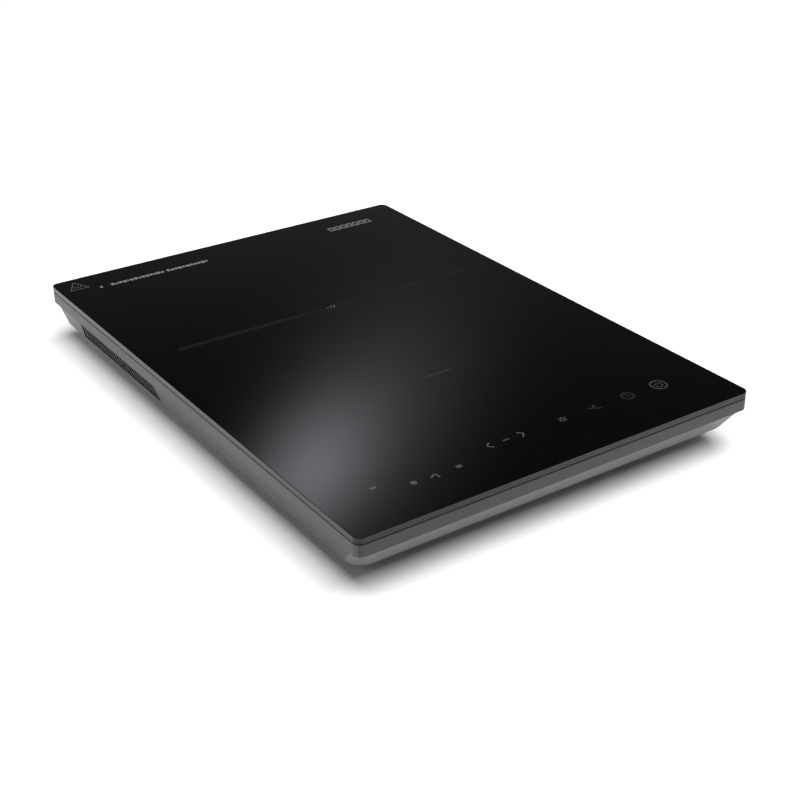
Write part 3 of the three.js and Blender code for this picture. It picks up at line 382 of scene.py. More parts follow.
FINISHES = {}
FINISHES["black_glass"] = finish("black_glass", (0.0004, 0.0004, 0.0004), (0.0006, 0.0006, 0.0006), (0.035, 0.075),
                                 scale=40, broad=9, bump=0.0, dust=0.003)
# painted shade: near black for the walls inside the vent slots, standing in for the shade there; the tray itself is
# grey
slot_painted_shade = finish("slot_painted_shade", (0.006, 0.006, 0.006), (0.010, 0.010, 0.010), (0.6, 0.75), scale=900, bump=0.2,
                    dust=0, specular=0.2)
# painted shade: a darker grey for the outer faces of the bars in the sunken vent panel, standing in for shade in the
# recess
vent_bars_painted_shade = finish("vent_bars_painted_shade", (0.060, 0.060, 0.061), (0.070, 0.070, 0.071), (0.45, 0.55), scale=1300, bump=0.22,
                   wear=(0.12, 0.12, 0.12), wear_amount=0.3, dust=0)
ground_edge = finish("ground_glass_edge", (0.003, 0.003, 0.0035), (0.006, 0.006, 0.007), (0.18, 0.26), scale=1500,
                     bump=0.12, dust=0, specular=0.36)
FINISHES["grey_shell"] = finish("grey_shell", (0.130, 0.130, 0.132), (0.140, 0.140, 0.142), (0.40, 0.48),
                                scale=1300, bump=0.22, wear=(0.24, 0.24, 0.24), wear_amount=0.4, dust=0.05)
FINISHES["dark_shell"] = finish("dark_shell", (0.054, 0.054, 0.054), (0.060, 0.060, 0.060), (0.40, 0.48),
                                scale=1300, bump=0.22, wear=(0.11, 0.11, 0.11), wear_amount=0.4, dust=0.05)
# painted shade: a darker copy of the ring's finish for its front faces, standing in for the weaker light there
front_painted_shade = finish("front_painted_shade", (0.0195, 0.0195, 0.020), (0.0225, 0.0225, 0.023), (0.38, 0.46), scale=1300,
                    bump=0.22, wear=(0.06, 0.06, 0.06), wear_amount=0.4, dust=0.05)
FINISHES["black_rubber"] = finish("black_rubber", (0.012, 0.012, 0.012), (0.020, 0.020, 0.020), (0.62, 0.78),
                                  scale=700, bump=0.4, wear=(0.05, 0.05, 0.05), dust=0.2)
FINISHES["adhesive"] = finish("adhesive", (0.010, 0.010, 0.010), (0.016, 0.016, 0.016), (0.50, 0.62), scale=300,
                              bump=0.3, dust=0)
FINISHES["zinc_steel"] = finish("zinc_steel", (0.50, 0.50, 0.50), (0.60, 0.60, 0.61), (0.26, 0.38), metallic=1.0,
                                scale=1200, stretch=(1, 1, 0.15), bump=0.2, wear=(0.75, 0.75, 0.75))

# %% [markdown]
# The inside has a dozen more finishes. Copper and aluminium get a stretched grain, as drawn or extruded metal has.
# Mica is flaky and pale, ferrite is sintered and dull, and the board has a satin lacquer.

# %% Finishes of the inside
FINISHES["copper"] = finish("copper", (0.72, 0.30, 0.13), (0.80, 0.38, 0.19), (0.26, 0.40), metallic=1.0, scale=900,
                            stretch=(1, 1, 3), bump=0.35, depth=0.00005, wear=(0.90, 0.55, 0.35))
FINISHES["black_resin"] = finish("black_resin", (0.016, 0.016, 0.017), (0.024, 0.024, 0.025), (0.38, 0.52),
                                 scale=1100, bump=0.25, wear=(0.07, 0.07, 0.07), dust=0.15)
FINISHES["mica"] = finish("mica", (0.50, 0.43, 0.29), (0.60, 0.54, 0.40), (0.42, 0.66), scale=160,
                          stretch=(1, 2.2, 1), broad=60, bump=0.4, depth=0.00004, dust=0.1)
FINISHES["ferrite"] = finish("ferrite", (0.030, 0.031, 0.034), (0.045, 0.046, 0.050), (0.46, 0.66), scale=2200,
                             bump=0.5, wear=(0.12, 0.12, 0.125))
FINISHES["white_resin"] = finish("white_resin", (0.62, 0.61, 0.57), (0.70, 0.69, 0.65), (0.38, 0.50), scale=1000,
                                 bump=0.2, wear=(0.80, 0.79, 0.76))
FINISHES["silicone"] = finish("silicone", (0.44, 0.41, 0.35), (0.52, 0.49, 0.43), (0.50, 0.62), scale=500, bump=0.3)
FINISHES["circuit_board"] = finish("circuit_board", (0.012, 0.095, 0.035), (0.018, 0.125, 0.050), (0.28, 0.42),
                                   scale=420, stretch=(1, 6, 1), broad=90, bump=0.3, depth=0.00004,
                                   wear=(0.42, 0.38, 0.22), coat=0.3)
FINISHES["aluminium"] = finish("aluminium", (0.66, 0.67, 0.68), (0.76, 0.77, 0.78), (0.26, 0.40), metallic=1.0,
                               scale=900, stretch=(0.08, 1, 1), bump=0.35, wear=(0.92, 0.92, 0.92))
FINISHES["package"] = finish("package", (0.014, 0.014, 0.015), (0.020, 0.020, 0.021), (0.22, 0.34), scale=1400,
                             bump=0.2, wear=(0.07, 0.07, 0.07))
FINISHES["film_box"] = finish("film_box", (0.50, 0.30, 0.035), (0.58, 0.37, 0.055), (0.22, 0.34), scale=700,
                              bump=0.2, wear=(0.72, 0.52, 0.18), coat=0.3)
print("finishes:", len(FINISHES))

# %% [markdown]
# ## Lofted outlines
# Glass, frame and tray all follow one rounded rectangle, at different distances from the glass edge. An outline is
# given by its inset on each side and its corner radius, and a part is a stack of outlines. Where two slopes meet,
# a short curve replaces the corner, as a mould maker would round it.

# %% Outlines and lofts
CORNER_STEPS = 14
glass_low, glass_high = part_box("glass_plate")
frame_low, frame_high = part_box("top_frame")
tray_low, tray_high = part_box("bottom_housing")


def inset(left, right, front, rear, radius, z):
    """One level of a part: insets in mm from the edges of the glass, and a height in metres."""
    return Vector((left * MM, right * MM, front * MM, rear * MM, radius * MM, z))


def even(distance, radius, z):
    return inset(distance, distance, distance, distance, radius, z)


def outline(level):
    left, right, front, rear, radius, z = level
    x0, x1 = glass_low.x + left, glass_high.x - right
    y0, y1 = glass_low.y + front, glass_high.y - rear
    corners = [(x1 - radius, y1 - radius), (x0 + radius, y1 - radius), (x0 + radius, y0 + radius),
               (x1 - radius, y0 + radius)]
    points = []
    for quarter, (x, y) in enumerate(corners):
        for step in range(CORNER_STEPS + 1):
            angle = (quarter + step / CORNER_STEPS) * math.pi / 2
            points.append((x + radius * math.cos(angle), y + radius * math.sin(angle), z))
    return points


def rounded_corner(before, corner, after, share_before, share_after, steps=5):
    """Levels along a short curve that replaces a corner of the profile."""
    start = corner.lerp(before, share_before)
    end = corner.lerp(after, share_after)
    levels = []
    for step in range(steps + 1):
        t = step / steps
        levels.append(start * (1 - t) ** 2 + corner * (2 * t * (1 - t)) + end * t ** 2)
    return levels


def loft(name, levels):
    """A closed solid through outlines, listed upwards."""
    mesh = bpy.data.meshes.new(name)
    rings = [outline(level) for level in levels]
    count = len(rings[0])
    faces = [tuple(reversed(range(count)))]
    for ring in range(len(rings) - 1):
        for i in range(count):
            a, b = ring * count + i, ring * count + (i + 1) % count
            faces.append((a, b, b + count, a + count))
    top = (len(rings) - 1) * count
    faces.append(tuple(range(top, top + count)))
    mesh.from_pydata([p for ring in rings for p in ring], [], faces)
    return object_from(name, mesh)


# %% [markdown]
# ## Joining, cutting and finishing meshes
# Solids are joined and cut with the Boolean modifier, and the result is baked into a plain mesh at once, so that a
# finished piece carries no modifier. A copy of a CAD node is first welded, because its triangles are loose.
# Finishing breaks the sharp edges with a narrow bevel, and keeps flat faces flat with weighted normals.

# %% Helpers for solids
def baked(piece):
    """The piece's evaluated mesh takes the place of its own, and its modifiers go."""
    depsgraph = bpy.context.evaluated_depsgraph_get()
    mesh = bpy.data.meshes.new_from_object(piece.evaluated_get(depsgraph))
    piece.modifiers.clear()
    piece.data = mesh
    return piece


def drop(piece):
    bpy.data.objects.remove(piece)


def solid_op(base, tool, operation):
    modifier = base.modifiers.new("solid", "BOOLEAN")
    modifier.operation = operation
    modifier.solver = "MANIFOLD"
    modifier.object = tool
    baked(base)
    drop(tool)
    return base


def welded(node):
    """A copy of a CAD node with its corners joined and its flat areas cleared of needless edges."""
    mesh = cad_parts[node].data.copy()
    shape = bmesh.new()
    shape.from_mesh(mesh)
    bmesh.ops.remove_doubles(shape, verts=shape.verts, dist=0.000002)
    bmesh.ops.dissolve_limit(shape, angle_limit=math.radians(0.6), verts=shape.verts, edges=shape.edges)
    shape.to_mesh(mesh)
    shape.free()
    for key in ("custom_normal", "sharp_edge", "sharp_face"):
        if key in mesh.attributes:
            mesh.attributes.remove(mesh.attributes[key])
    mesh.materials.clear()
    return object_from(node + "_copy", mesh)


def softened(piece, width, angle=34.0, segments=2):
    """Narrow bevels on the sharp edges, then smooth shading that leaves the flats flat."""
    if width:
        modifier = piece.modifiers.new("edges", "BEVEL")
        modifier.width = width * MM
        modifier.segments = segments
        modifier.limit_method = "ANGLE"
        modifier.angle_limit = math.radians(angle)
        modifier.miter_outer = "MITER_ARC"
        baked(piece)
    shape = bmesh.new()
    shape.from_mesh(piece.data)
    for edge in shape.edges:
        edge.smooth = len(edge.link_faces) == 2 and edge.calc_face_angle(0) < math.radians(angle)
    for face in shape.faces:
        face.smooth = True
    shape.to_mesh(piece.data)
    shape.free()
    modifier = piece.modifiers.new("normals", "WEIGHTED_NORMAL")
    modifier.keep_sharp = True
    return baked(piece)


def finished(piece, name, slot, nodes, material=None, body="cooktop"):
    """Names the piece, gives it its finish and ties it to the frame."""
    piece.name = name
    piece.data.name = name
    if material or not all(piece.data.materials) or not piece.data.materials:
        piece.data.materials.clear()
        piece.data.materials.append(material or FINISHES[slot])
        piece.data.polygons.foreach_set("material_index", [0] * len(piece.data.polygons))
    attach(piece, body)
    if nodes:
        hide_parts(*nodes)
    low = [round(min(v.co[i] for v in piece.data.vertices) / MM, 1) for i in range(3)]
    high = [round(max(v.co[i] for v in piece.data.vertices) / MM, 1) for i in range(3)]
    print(f"{name}: {len(piece.data.polygons)} faces, {low} to {high} mm")
    return piece


# %% [markdown]
# ## The glass plate
# A 4 mm sheet of black glass with a polished face and a ground edge. Its rim is rounded over in a quarter curve,
# which is what catches the thin pale line along the sides. The flat top lies a hair under the CAD height, so that
# the printed marks on it end at that height.

# %% Glass plate
PRINT_THICKNESS = 0.02 * MM
GLASS_CORNER = 5.0
TOP_ROUND = 0.3
TOP_GROUND = 0.5
UNDER_ROUND = 0.35
ROUND_STEPS = 6

glass_top = glass_high.z - PRINT_THICKNESS
levels = []
for step in range(ROUND_STEPS + 1):
    angle = step / ROUND_STEPS * math.pi / 2
    levels.append(even(UNDER_ROUND * (1 - math.sin(angle)), GLASS_CORNER,
                       glass_low.z + UNDER_ROUND * MM * (1 - math.cos(angle))))
for step in range(ROUND_STEPS + 1):
    angle = step / ROUND_STEPS * math.pi / 2
    levels.append(even(TOP_ROUND * (1 - math.cos(angle)), GLASS_CORNER,
                       glass_top - TOP_ROUND * MM * (1 - math.sin(angle))))
glass = loft("glass", levels)
glass.data.materials.append(FINISHES["black_glass"])
glass.data.materials.append(ground_edge)
for polygon in glass.data.polygons:
    polygon.material_index = 1 if -0.80 < polygon.normal.z < TOP_GROUND else 0
softened(glass, 0, angle=50)
finished(glass, "glass_sheet", "black_glass", ["glass_plate"])

# %% [markdown]
# ## Printed marks
# The marks are fired onto the glass as a thin layer of pale enamel: small touch symbols along the front, a
# line that shows where the pan goes, and a few generic blocks along the rear where a maker would print words.
# Every mark is a thin closed slab, made from strokes, rings and bars, and all of them form one piece.

# %% Strokes, rings and bars
PRINT_SINK = 0.01 * MM
print_low = glass_top - PRINT_SINK
print_high = glass_high.z
enamel = bmesh.new()
ink = enamel.faces.layers.float.new("ink")
current_ink = 1.0


def slab(points):
    """A closed thin slab over a flat outline, given in mm."""
    low = [enamel.verts.new((x * MM, y * MM, print_low)) for x, y in points]
    high = [enamel.verts.new((x * MM, y * MM, print_high)) for x, y in points]
    count = len(points)
    faces = [enamel.faces.new(list(reversed(low))), enamel.faces.new(high)]
    for i in range(count):
        j = (i + 1) % count
        faces.append(enamel.faces.new((low[i], low[j], high[j], high[i])))
    for face in faces:
        face[ink] = current_ink


def bar(x, y, width, height):
    slab([(x - width / 2, y - height / 2), (x + width / 2, y - height / 2), (x + width / 2, y + height / 2),
          (x - width / 2, y + height / 2)])


def stroke(start, end, width):
    (x0, y0), (x1, y1) = start, end
    length = math.hypot(x1 - x0, y1 - y0)
    nx, ny = -(y1 - y0) / length * width / 2, (x1 - x0) / length * width / 2
    slab([(x0 - nx, y0 - ny), (x1 - nx, y1 - ny), (x1 + nx, y1 + ny), (x0 + nx, y0 + ny)])


def arc(x, y, radius, width, start=0.0, end=360.0, steps=28):
    """A ring, or part of one, as a chain of slabs that share their ends."""
    for step in range(steps):
        a0 = math.radians(start + (end - start) * step / steps)
        a1 = math.radians(start + (end - start) * (step + 1) / steps)
        inner, outer = radius - width / 2, radius + width / 2
        slab([(x + inner * math.cos(a0), y + inner * math.sin(a0)), (x + outer * math.cos(a0), y + outer * math.sin(a0)),
              (x + outer * math.cos(a1), y + outer * math.sin(a1)), (x + inner * math.cos(a1), y + inner * math.sin(a1))])


# %% Touch symbols along the front
TOUCH_Y = -163.8
touch_x = [round((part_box(f"touch_pad_{i}")[0].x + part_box(f"touch_pad_{i}")[1].x) / 2 / MM, 2) for i in range(1, 7)]
less_x, more_x, boost_x, hold_x, timer_x, power_x = touch_x
ARROW = 3.0
PALE_INK, MIDDLE_INK, FAINT_INK = 0.42, 0.20, 0.07
current_ink = PALE_INK
for x, side in ((less_x, -1), (more_x, 1)):
    stroke((x - side * ARROW / 2, TOUCH_Y + ARROW), (x + side * ARROW / 2, TOUCH_Y), 0.8)
    stroke((x - side * ARROW / 2, TOUCH_Y - ARROW), (x + side * ARROW / 2, TOUCH_Y), 0.8)
current_ink = MIDDLE_INK
bar((less_x + more_x) / 2 + 0.3, TOUCH_Y, 5.0, 1.3)
current_ink = MIDDLE_INK
for angle in (20, 80, 140):
    dx, dy = 3.0 * math.cos(math.radians(angle)), 2.6 * math.sin(math.radians(angle))
    stroke((boost_x - dx, TOUCH_Y - dy), (boost_x + dx, TOUCH_Y + dy), 1.2)
current_ink = FAINT_INK
stroke((hold_x - 3.9, TOUCH_Y + 1.5), (hold_x + 3.9, TOUCH_Y - 2.6), 1.3)
stroke((hold_x - 0.4, TOUCH_Y - 0.4), (hold_x + 1.8, TOUCH_Y + 3.4), 1.8)
arc(timer_x, TOUCH_Y, 3.9, 1.4)
stroke((timer_x, TOUCH_Y), (timer_x, TOUCH_Y + 3.0), 1.1)
stroke((timer_x, TOUCH_Y), (timer_x + 2.6, TOUCH_Y - 0.6), 1.1)
current_ink = MIDDLE_INK
arc(power_x, TOUCH_Y, 5.3, 1.15, steps=36)
arc(power_x, TOUCH_Y, 2.5, 0.8, start=125, end=415)
stroke((power_x, TOUCH_Y + 0.2), (power_x, TOUCH_Y + 3.1), 0.8)

# %% Indicator marks, zone marks and the generic blocks at the rear
INDICATOR_Y = -172.4
current_ink = PALE_INK
bar(-109.6, -164.0, 3.8, 2.0)
arc(-87.9, INDICATOR_Y, 1.3, 1.3, steps=20)
bar(-87.9, INDICATOR_Y, 1.4, 1.4)
for leg in ((-76.8, INDICATOR_Y - 1.2), (-72.4, INDICATOR_Y - 3.4)):
    stroke(leg, (-73.0, INDICATOR_Y + 1.4), 1.0)
bar(-56.8, INDICATOR_Y + 0.8, 3.8, 1.0)
bar(-56.8, INDICATOR_Y - 0.8, 3.8, 1.0)
current_ink = MIDDLE_INK
bar(0.7, -72.1, 22.4, 0.7)
current_ink = 1.0
ZONE_Y = 53.1
stroke((-3.2, ZONE_Y + 2.0), (-1.0, ZONE_Y - 2.0), 0.8)
stroke((-0.6, ZONE_Y + 2.0), (1.6, ZONE_Y - 2.0), 0.8)
stroke((2.0, ZONE_Y - 2.0), (3.4, ZONE_Y + 2.0), 0.8)
WORD_Y = 177.7
LETTER_GAP = 0.75
bar(-116.5, WORD_Y, 1.6, 3.2)
for start, widths in ((-108.9, (2.6, 1.7, 2.9, 2.2, 1.5, 3.0, 2.4, 1.8, 2.7, 2.0, 2.9, 1.6, 2.5, 2.2)),
                      (-64.4, (2.2, 3.0, 1.8, 2.6, 2.0, 3.1, 1.6, 2.7, 2.3, 2.8, 1.9))):
    x = start
    for i, width in enumerate(widths):
        bar(x + width / 2, WORD_Y - 0.35 * (i % 2), width, (3.5, 2.6, 3.0)[i % 3])
        x += width + LETTER_GAP
BLOCK_PITCH = 5.65
for i in range(7):
    x, y = 78.8 + i * BLOCK_PITCH, 177.9
    for side in (-1, 1):
        bar(x + side * 1.7, y, 0.9, 6.6)
        bar(x, y + side * 2.85, 2.6, 0.9)
current_ink = PALE_INK
TRIANGLE = ((-137.4, 183.0), (-123.6, 183.0), (-130.5, 196.2))
for i in range(3):
    stroke(TRIANGLE[i], TRIANGLE[(i + 1) % 3], 0.7)
for dx in (-2.4, 0.0, 2.4):
    stroke((-130.5 + dx - 0.4, 185.6), (-130.5 + dx + 0.4, 189.2), 0.6)

enamel_mesh = bpy.data.meshes.new("marks")
enamel.to_mesh(enamel_mesh)
enamel.free()
pale_enamel = finish("pale_enamel", (0.13, 0.13, 0.135), (0.17, 0.17, 0.175), (0.34, 0.46), scale=1600, bump=0.15,
                     dust=0, shade="ink")
finished(object_from("marks", enamel_mesh), "printed_marks", "white_resin", [], material=pale_enamel)

# %% [markdown]
# The line through the middle of the cooking zone is not solid: it is a row of short slanting ticks in a much fainter
# ink. Ticks that repeat are a job for Geometry Nodes. The tree takes one tick, places it along a line, makes the
# copies real, and sets the ink.

# %% A tree that repeats a shape along a line
def line_tree(name):
    tree = bpy.data.node_groups.new(name, "GeometryNodeTree")
    tree.interface.new_socket(name="Shape", in_out="INPUT", socket_type="NodeSocketGeometry")
    tree.interface.new_socket(name="Count", in_out="INPUT", socket_type="NodeSocketInt")
    tree.interface.new_socket(name="Start", in_out="INPUT", socket_type="NodeSocketVector")
    tree.interface.new_socket(name="Step", in_out="INPUT", socket_type="NodeSocketVector")
    tree.interface.new_socket(name="Finish", in_out="INPUT", socket_type="NodeSocketMaterial")
    tree.interface.new_socket(name="Row", in_out="OUTPUT", socket_type="NodeSocketGeometry")
    given = tree.nodes.new("NodeGroupInput").outputs
    line = node_of(tree, "GeometryNodeMeshLine", Count=given["Count"], Start_Location=given["Start"],
                   Offset=given["Step"])
    placed = node_of(tree, "GeometryNodeInstanceOnPoints", Points=line.outputs[0], Instance=given["Shape"])
    real = node_of(tree, "GeometryNodeRealizeInstances", Geometry=placed.outputs[0])
    inked = node_of(tree, "GeometryNodeSetMaterial", Geometry=real.outputs[0], Material=given["Finish"])
    feed(tree, tree.nodes.new("NodeGroupOutput").inputs["Row"], inked.outputs[0])
    return tree


def grown(piece, tree, **values):
    """Runs a tree on the piece, with its inputs set by identifier, and bakes the result."""
    values = {key.replace("_", " "): value for key, value in values.items()}
    modifier = piece.modifiers.new(tree.name, "NODES")
    modifier.node_group = tree
    for item in tree.interface.items_tree:
        if item.item_type == "SOCKET" and item.in_out == "INPUT" and item.name in values:
            modifier[item.identifier] = values[item.name]
    return baked(piece)


row_of = line_tree("row_along_a_line")

# %% Zone line
TICK_PITCH = 2.35
TICK_COUNT = 100
faint_enamel = finish("faint_enamel", (0.0024, 0.0024, 0.0024), (0.0034, 0.0034, 0.0034), (0.40, 0.50), scale=1600,
                      bump=0.15, dust=0)
tick_mesh = bpy.data.meshes.new("tick")
tick = bmesh.new()
corners = [(-1.6, -2.2), (0.0, -2.2), (1.6, 2.2), (0.0, 2.2)]
tick_low = [tick.verts.new((x * MM, y * MM, print_low)) for x, y in corners]
tick_high = [tick.verts.new((x * MM, y * MM, print_high)) for x, y in corners]
tick.faces.new(tick_low[::-1])
tick.faces.new(tick_high)
for i in range(4):
    j = (i + 1) % 4
    tick.faces.new((tick_low[i], tick_low[j], tick_high[j], tick_high[i]))
tick.to_mesh(tick_mesh)
tick.free()
zone_line = grown(object_from("tick", tick_mesh), row_of, Count=TICK_COUNT, Start=(-116.4 * MM, ZONE_Y * MM, 0.0),
                  Step=(TICK_PITCH * MM, 0.0, 0.0), Finish=faint_enamel)
finished(zone_line, "zone_line", "white_resin", [], material=faint_enamel)

# %% [markdown]
# ## The top frame
# A moulded ring that the glass is bonded to. From outside only its 7.5 mm band shows. The band is lofted fresh with
# fine corners, and the ledge, the rib and the screw bosses inside are taken over from the CAD solid. The strip below
# the controls, on the front, is darker than the rest of the ring: painted shade, for the weaker light on that side.

# %% Top frame
FRAME_ROUND = 0.5
GROOVE_ROUND = 0.75
FRAME_LEDGE = 14.0
BAND_DEPTH = 1.9
BAND_OVERLAP = 0.4
BAND_HEIGHT = 7.5 * MM
LIP = 0.8 * MM
PARTING = 0.3 * MM
FRONT_FACING = -0.5
band_low = frame_high.z - LIP - BAND_HEIGHT
rim_z = band_low - PARTING

band_levels = [even(FRAME_ROUND * (1 - math.sin(a)), GLASS_CORNER, band_low + FRAME_ROUND * MM * (1 - math.cos(a)))
               for a in (step / 4 * math.pi / 2 for step in range(5))]
band_levels += [even(GROOVE_ROUND * (1 - math.cos(a)), GLASS_CORNER,
                     frame_high.z - GROOVE_ROUND * MM * (1 - math.sin(a)))
                for a in (step / 4 * math.pi / 2 for step in range(5))]
band = loft("band", band_levels)
hole = [even(BAND_DEPTH, 3.2, z) for z in (frame_low.z - 0.001, frame_high.z + 0.001)]
solid_op(band, loft("band_hole", hole), "DIFFERENCE")
inside = welded("top_frame")
keep = [even(BAND_DEPTH - BAND_OVERLAP, 3.6, z) for z in (frame_low.z - 0.001, frame_high.z + 0.001)]
solid_op(inside, loft("keep", keep), "INTERSECT")
solid_op(band, inside, "UNION")
softened(band, 0.0, angle=30)
band.data.materials.clear()
band.data.materials.append(FINISHES["dark_shell"])
band.data.materials.append(front_painted_shade)
# faces that look forward along the front take the darker finish, which is painted shade
for polygon in band.data.polygons:
    faces_front = polygon.normal.y < FRONT_FACING and polygon.center.y < glass_low.y + 1.5 * MM
    polygon.material_index = 1 if faces_front else 0
finished(band, "frame_ring", "dark_shell", ["top_frame"])

# %% [markdown]
# ## The tray
# The lower housing is a shallow tray: a wall that leans in slightly towards the bottom, a rounded lower edge, and an
# underside that slopes up to it, so that the hob seems to float. The outside is lofted with soft transitions.

# %% Tray wall and underside
RIM = (1.5, 1.5, 1.5, 1.5, 7.0)
EDGE = (4.8, 4.8, 10.2, 5.6, 12.0)
BELLY = (22.0, 22.0, 26.0, 22.0, 24.0)
WALL = 2.2
WALL_DROP = 13.4 * MM
FLOOR_THICKNESS = 2.2 * MM

belly_z = tray_low.z
edge_z = rim_z - WALL_DROP
rim_level = inset(*RIM, rim_z)
edge_level = inset(*EDGE, edge_z - 0.0002)
belly_level = inset(*BELLY, belly_z)
flat_level = inset(*(side + 8 for side in BELLY[:4]), 18.0, belly_z)
outside = [flat_level]
outside += rounded_corner(flat_level, belly_level, edge_level, 0.35, 0.16)
outside += rounded_corner(belly_level, edge_level, rim_level, 0.05, 0.06, steps=6)
outside += rounded_corner(edge_level, rim_level, inset(4.0, 4.0, 4.0, 4.0, 5.0, rim_z), 0.03, 0.10, steps=3)
tray = loft("tray", outside)


def deeper(level, distance):
    made = level.copy()
    for i in range(4):
        made[i] += distance * MM
    made[4] = max(made[4] - distance * MM, 0.001)
    return made


def wall_level(z):
    """The wall's outer insets at a height between the lower edge and the rim."""
    return inset(*EDGE, edge_z).lerp(rim_level, (z - edge_z) / (rim_z - edge_z))


floor_top = belly_z + FLOOR_THICKNESS
inner_floor = deeper(belly_level, WALL)
inner_floor[5] = floor_top
bend_z = edge_z + FLOOR_THICKNESS
inner_bend = deeper(wall_level(bend_z), 1.5 * WALL)
inner_rim = deeper(rim_level, WALL)
above = inner_rim.copy()
above[5] = rim_z + 0.001
solid_op(tray, loft("hollow", [inner_floor, inner_bend, inner_rim, above]), "DIFFERENCE")
print("tray shell:", len(tray.data.polygons), "faces")

# %% [markdown]
# ## Vent and grille
# Warm air leaves through a row of narrow slots in the left wall, inside a shallow sunken panel whose ends lean.
# Cool air comes in through slots under the fan. The cutters are rounded bars repeated along a line by the same tree
# as the zone line, and the tray is cut with the whole row at once.

# %% Vent cutters
VENT_REAR = glass_high.y - 45 * MM
VENT_LENGTH = 115.0
VENT_PITCH = 5.75
VENT_SLOT = 3.9
VENT_SLANT = 5.0
SLOT_MARGIN = 0.6
VENT_DEEP = 10.0
VENT_TOP = rim_z - 0.5 * MM
VENT_HEIGHT = 11.6
VENT_RECESS = 0.8
vent_bottom = VENT_TOP - VENT_HEIGHT * MM
vent_front = VENT_REAR - VENT_LENGTH * MM


def prism(name, low_ring, high_ring):
    """A closed solid between two rings of points."""
    count = len(low_ring)
    faces = [tuple(reversed(range(count))), tuple(range(count, 2 * count))]
    faces += [(i, (i + 1) % count, (i + 1) % count + count, i + count) for i in range(count)]
    mesh = bpy.data.meshes.new(name)
    mesh.from_pydata([*low_ring, *high_ring], [], faces)
    return object_from(name, mesh)


def panel_ring(z, lean):
    face = glass_low.x + wall_level(z)[0] + VENT_RECESS * MM
    return [(glass_low.x - 0.001, vent_front - lean, z), (face, vent_front - lean, z), (face, VENT_REAR, z),
            (glass_low.x - 0.001, VENT_REAR, z)]


solid_op(tray, prism("panel", panel_ring(vent_bottom, VENT_SLANT * MM), panel_ring(VENT_TOP, 0.0)), "DIFFERENCE")

slot_count = int(VENT_LENGTH / VENT_PITCH)
spare = (VENT_LENGTH - slot_count * VENT_PITCH + VENT_PITCH - VENT_SLOT) / 2
slot_low, slot_high = vent_bottom + SLOT_MARGIN * MM, VENT_TOP - SLOT_MARGIN * MM
lean_at = lambda z: -VENT_SLANT * MM * (VENT_TOP - z) / (VENT_TOP - vent_bottom)
SLOT_TIPS = 5


def slot_face(x):
    """The outline of one leaning slot with rounded ends, in the plane across x."""
    half = VENT_SLOT * MM / 2
    points = []
    for centre, start in ((slot_high - half, 0.0), (slot_low + half, math.pi)):
        for step in range(SLOT_TIPS + 1):
            angle = start + step / SLOT_TIPS * math.pi
            z = centre + half * math.sin(angle)
            points.append((x, half + half * math.cos(angle) + lean_at(z), z))
    return points


slots = prism("slots", slot_face(glass_low.x - 0.001), slot_face(glass_low.x + 12 * MM))
slots = grown(slots, row_of, Count=slot_count, Start=(0.0, vent_front + spare * MM, 0.0),
              Step=(0.0, VENT_PITCH * MM, 0.0), Finish=FINISHES["grey_shell"])
solid_op(tray, slots, "DIFFERENCE")
print("vent slots:", slot_count)

# %% Intake grille
INTAKE_PITCH = 6.0
INTAKE_SLOT = 3.2
INTAKE_RADIUS = 27.0
fan_low, fan_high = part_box("fan_housing")
fan_x, fan_y = (fan_low.x + fan_high.x) / 2, (fan_low.y + fan_high.y) / 2


def grille_tree(name):
    """Bars across a circle: each is as long as the chord at its place."""
    tree = bpy.data.node_groups.new(name, "GeometryNodeTree")
    tree.interface.new_socket(name="Shape", in_out="INPUT", socket_type="NodeSocketGeometry")
    tree.interface.new_socket(name="Count", in_out="INPUT", socket_type="NodeSocketInt")
    tree.interface.new_socket(name="Pitch", in_out="INPUT", socket_type="NodeSocketFloat")
    tree.interface.new_socket(name="Radius", in_out="INPUT", socket_type="NodeSocketFloat")
    tree.interface.new_socket(name="Finish", in_out="INPUT", socket_type="NodeSocketMaterial")
    tree.interface.new_socket(name="Grille", in_out="OUTPUT", socket_type="NodeSocketGeometry")
    given = tree.nodes.new("NodeGroupInput").outputs
    last = calc(tree, "SUBTRACT", given["Count"], 1.0)
    half_span = calc(tree, "MULTIPLY", calc(tree, "MULTIPLY", last, given["Pitch"]), -0.5)
    start = node_of(tree, "ShaderNodeCombineXYZ", Y=half_span)
    step = node_of(tree, "ShaderNodeCombineXYZ", Y=given["Pitch"])
    line = node_of(tree, "GeometryNodeMeshLine", Count=given["Count"], Start_Location=start.outputs[0],
                   Offset=step.outputs[0])
    place = node_of(tree, "ShaderNodeSeparateXYZ", Vector=tree.nodes.new("GeometryNodeInputPosition").outputs[0])
    share = calc(tree, "DIVIDE", place.outputs["Y"], given["Radius"])
    chord = calc(tree, "SQRT", calc(tree, "SUBTRACT", 1.0, calc(tree, "MULTIPLY", share, share)))
    size = node_of(tree, "ShaderNodeCombineXYZ", X=chord, Y=1.0, Z=1.0)
    placed = node_of(tree, "GeometryNodeInstanceOnPoints", Points=line.outputs[0], Instance=given["Shape"],
                     Scale=size.outputs[0])
    real = node_of(tree, "GeometryNodeRealizeInstances", Geometry=placed.outputs[0])
    done = node_of(tree, "GeometryNodeSetMaterial", Geometry=real.outputs[0], Material=given["Finish"])
    feed(tree, tree.nodes.new("NodeGroupOutput").inputs["Grille"], done.outputs[0])
    return tree


def capsule(half_length, half_width, z, steps=6):
    points = []
    for centre, start in ((half_length - half_width, -math.pi / 2), (half_width - half_length, math.pi / 2)):
        for step in range(steps + 1):
            angle = start + step / steps * math.pi
            points.append((centre + half_width * math.cos(angle), half_width * math.sin(angle), z))
    return points


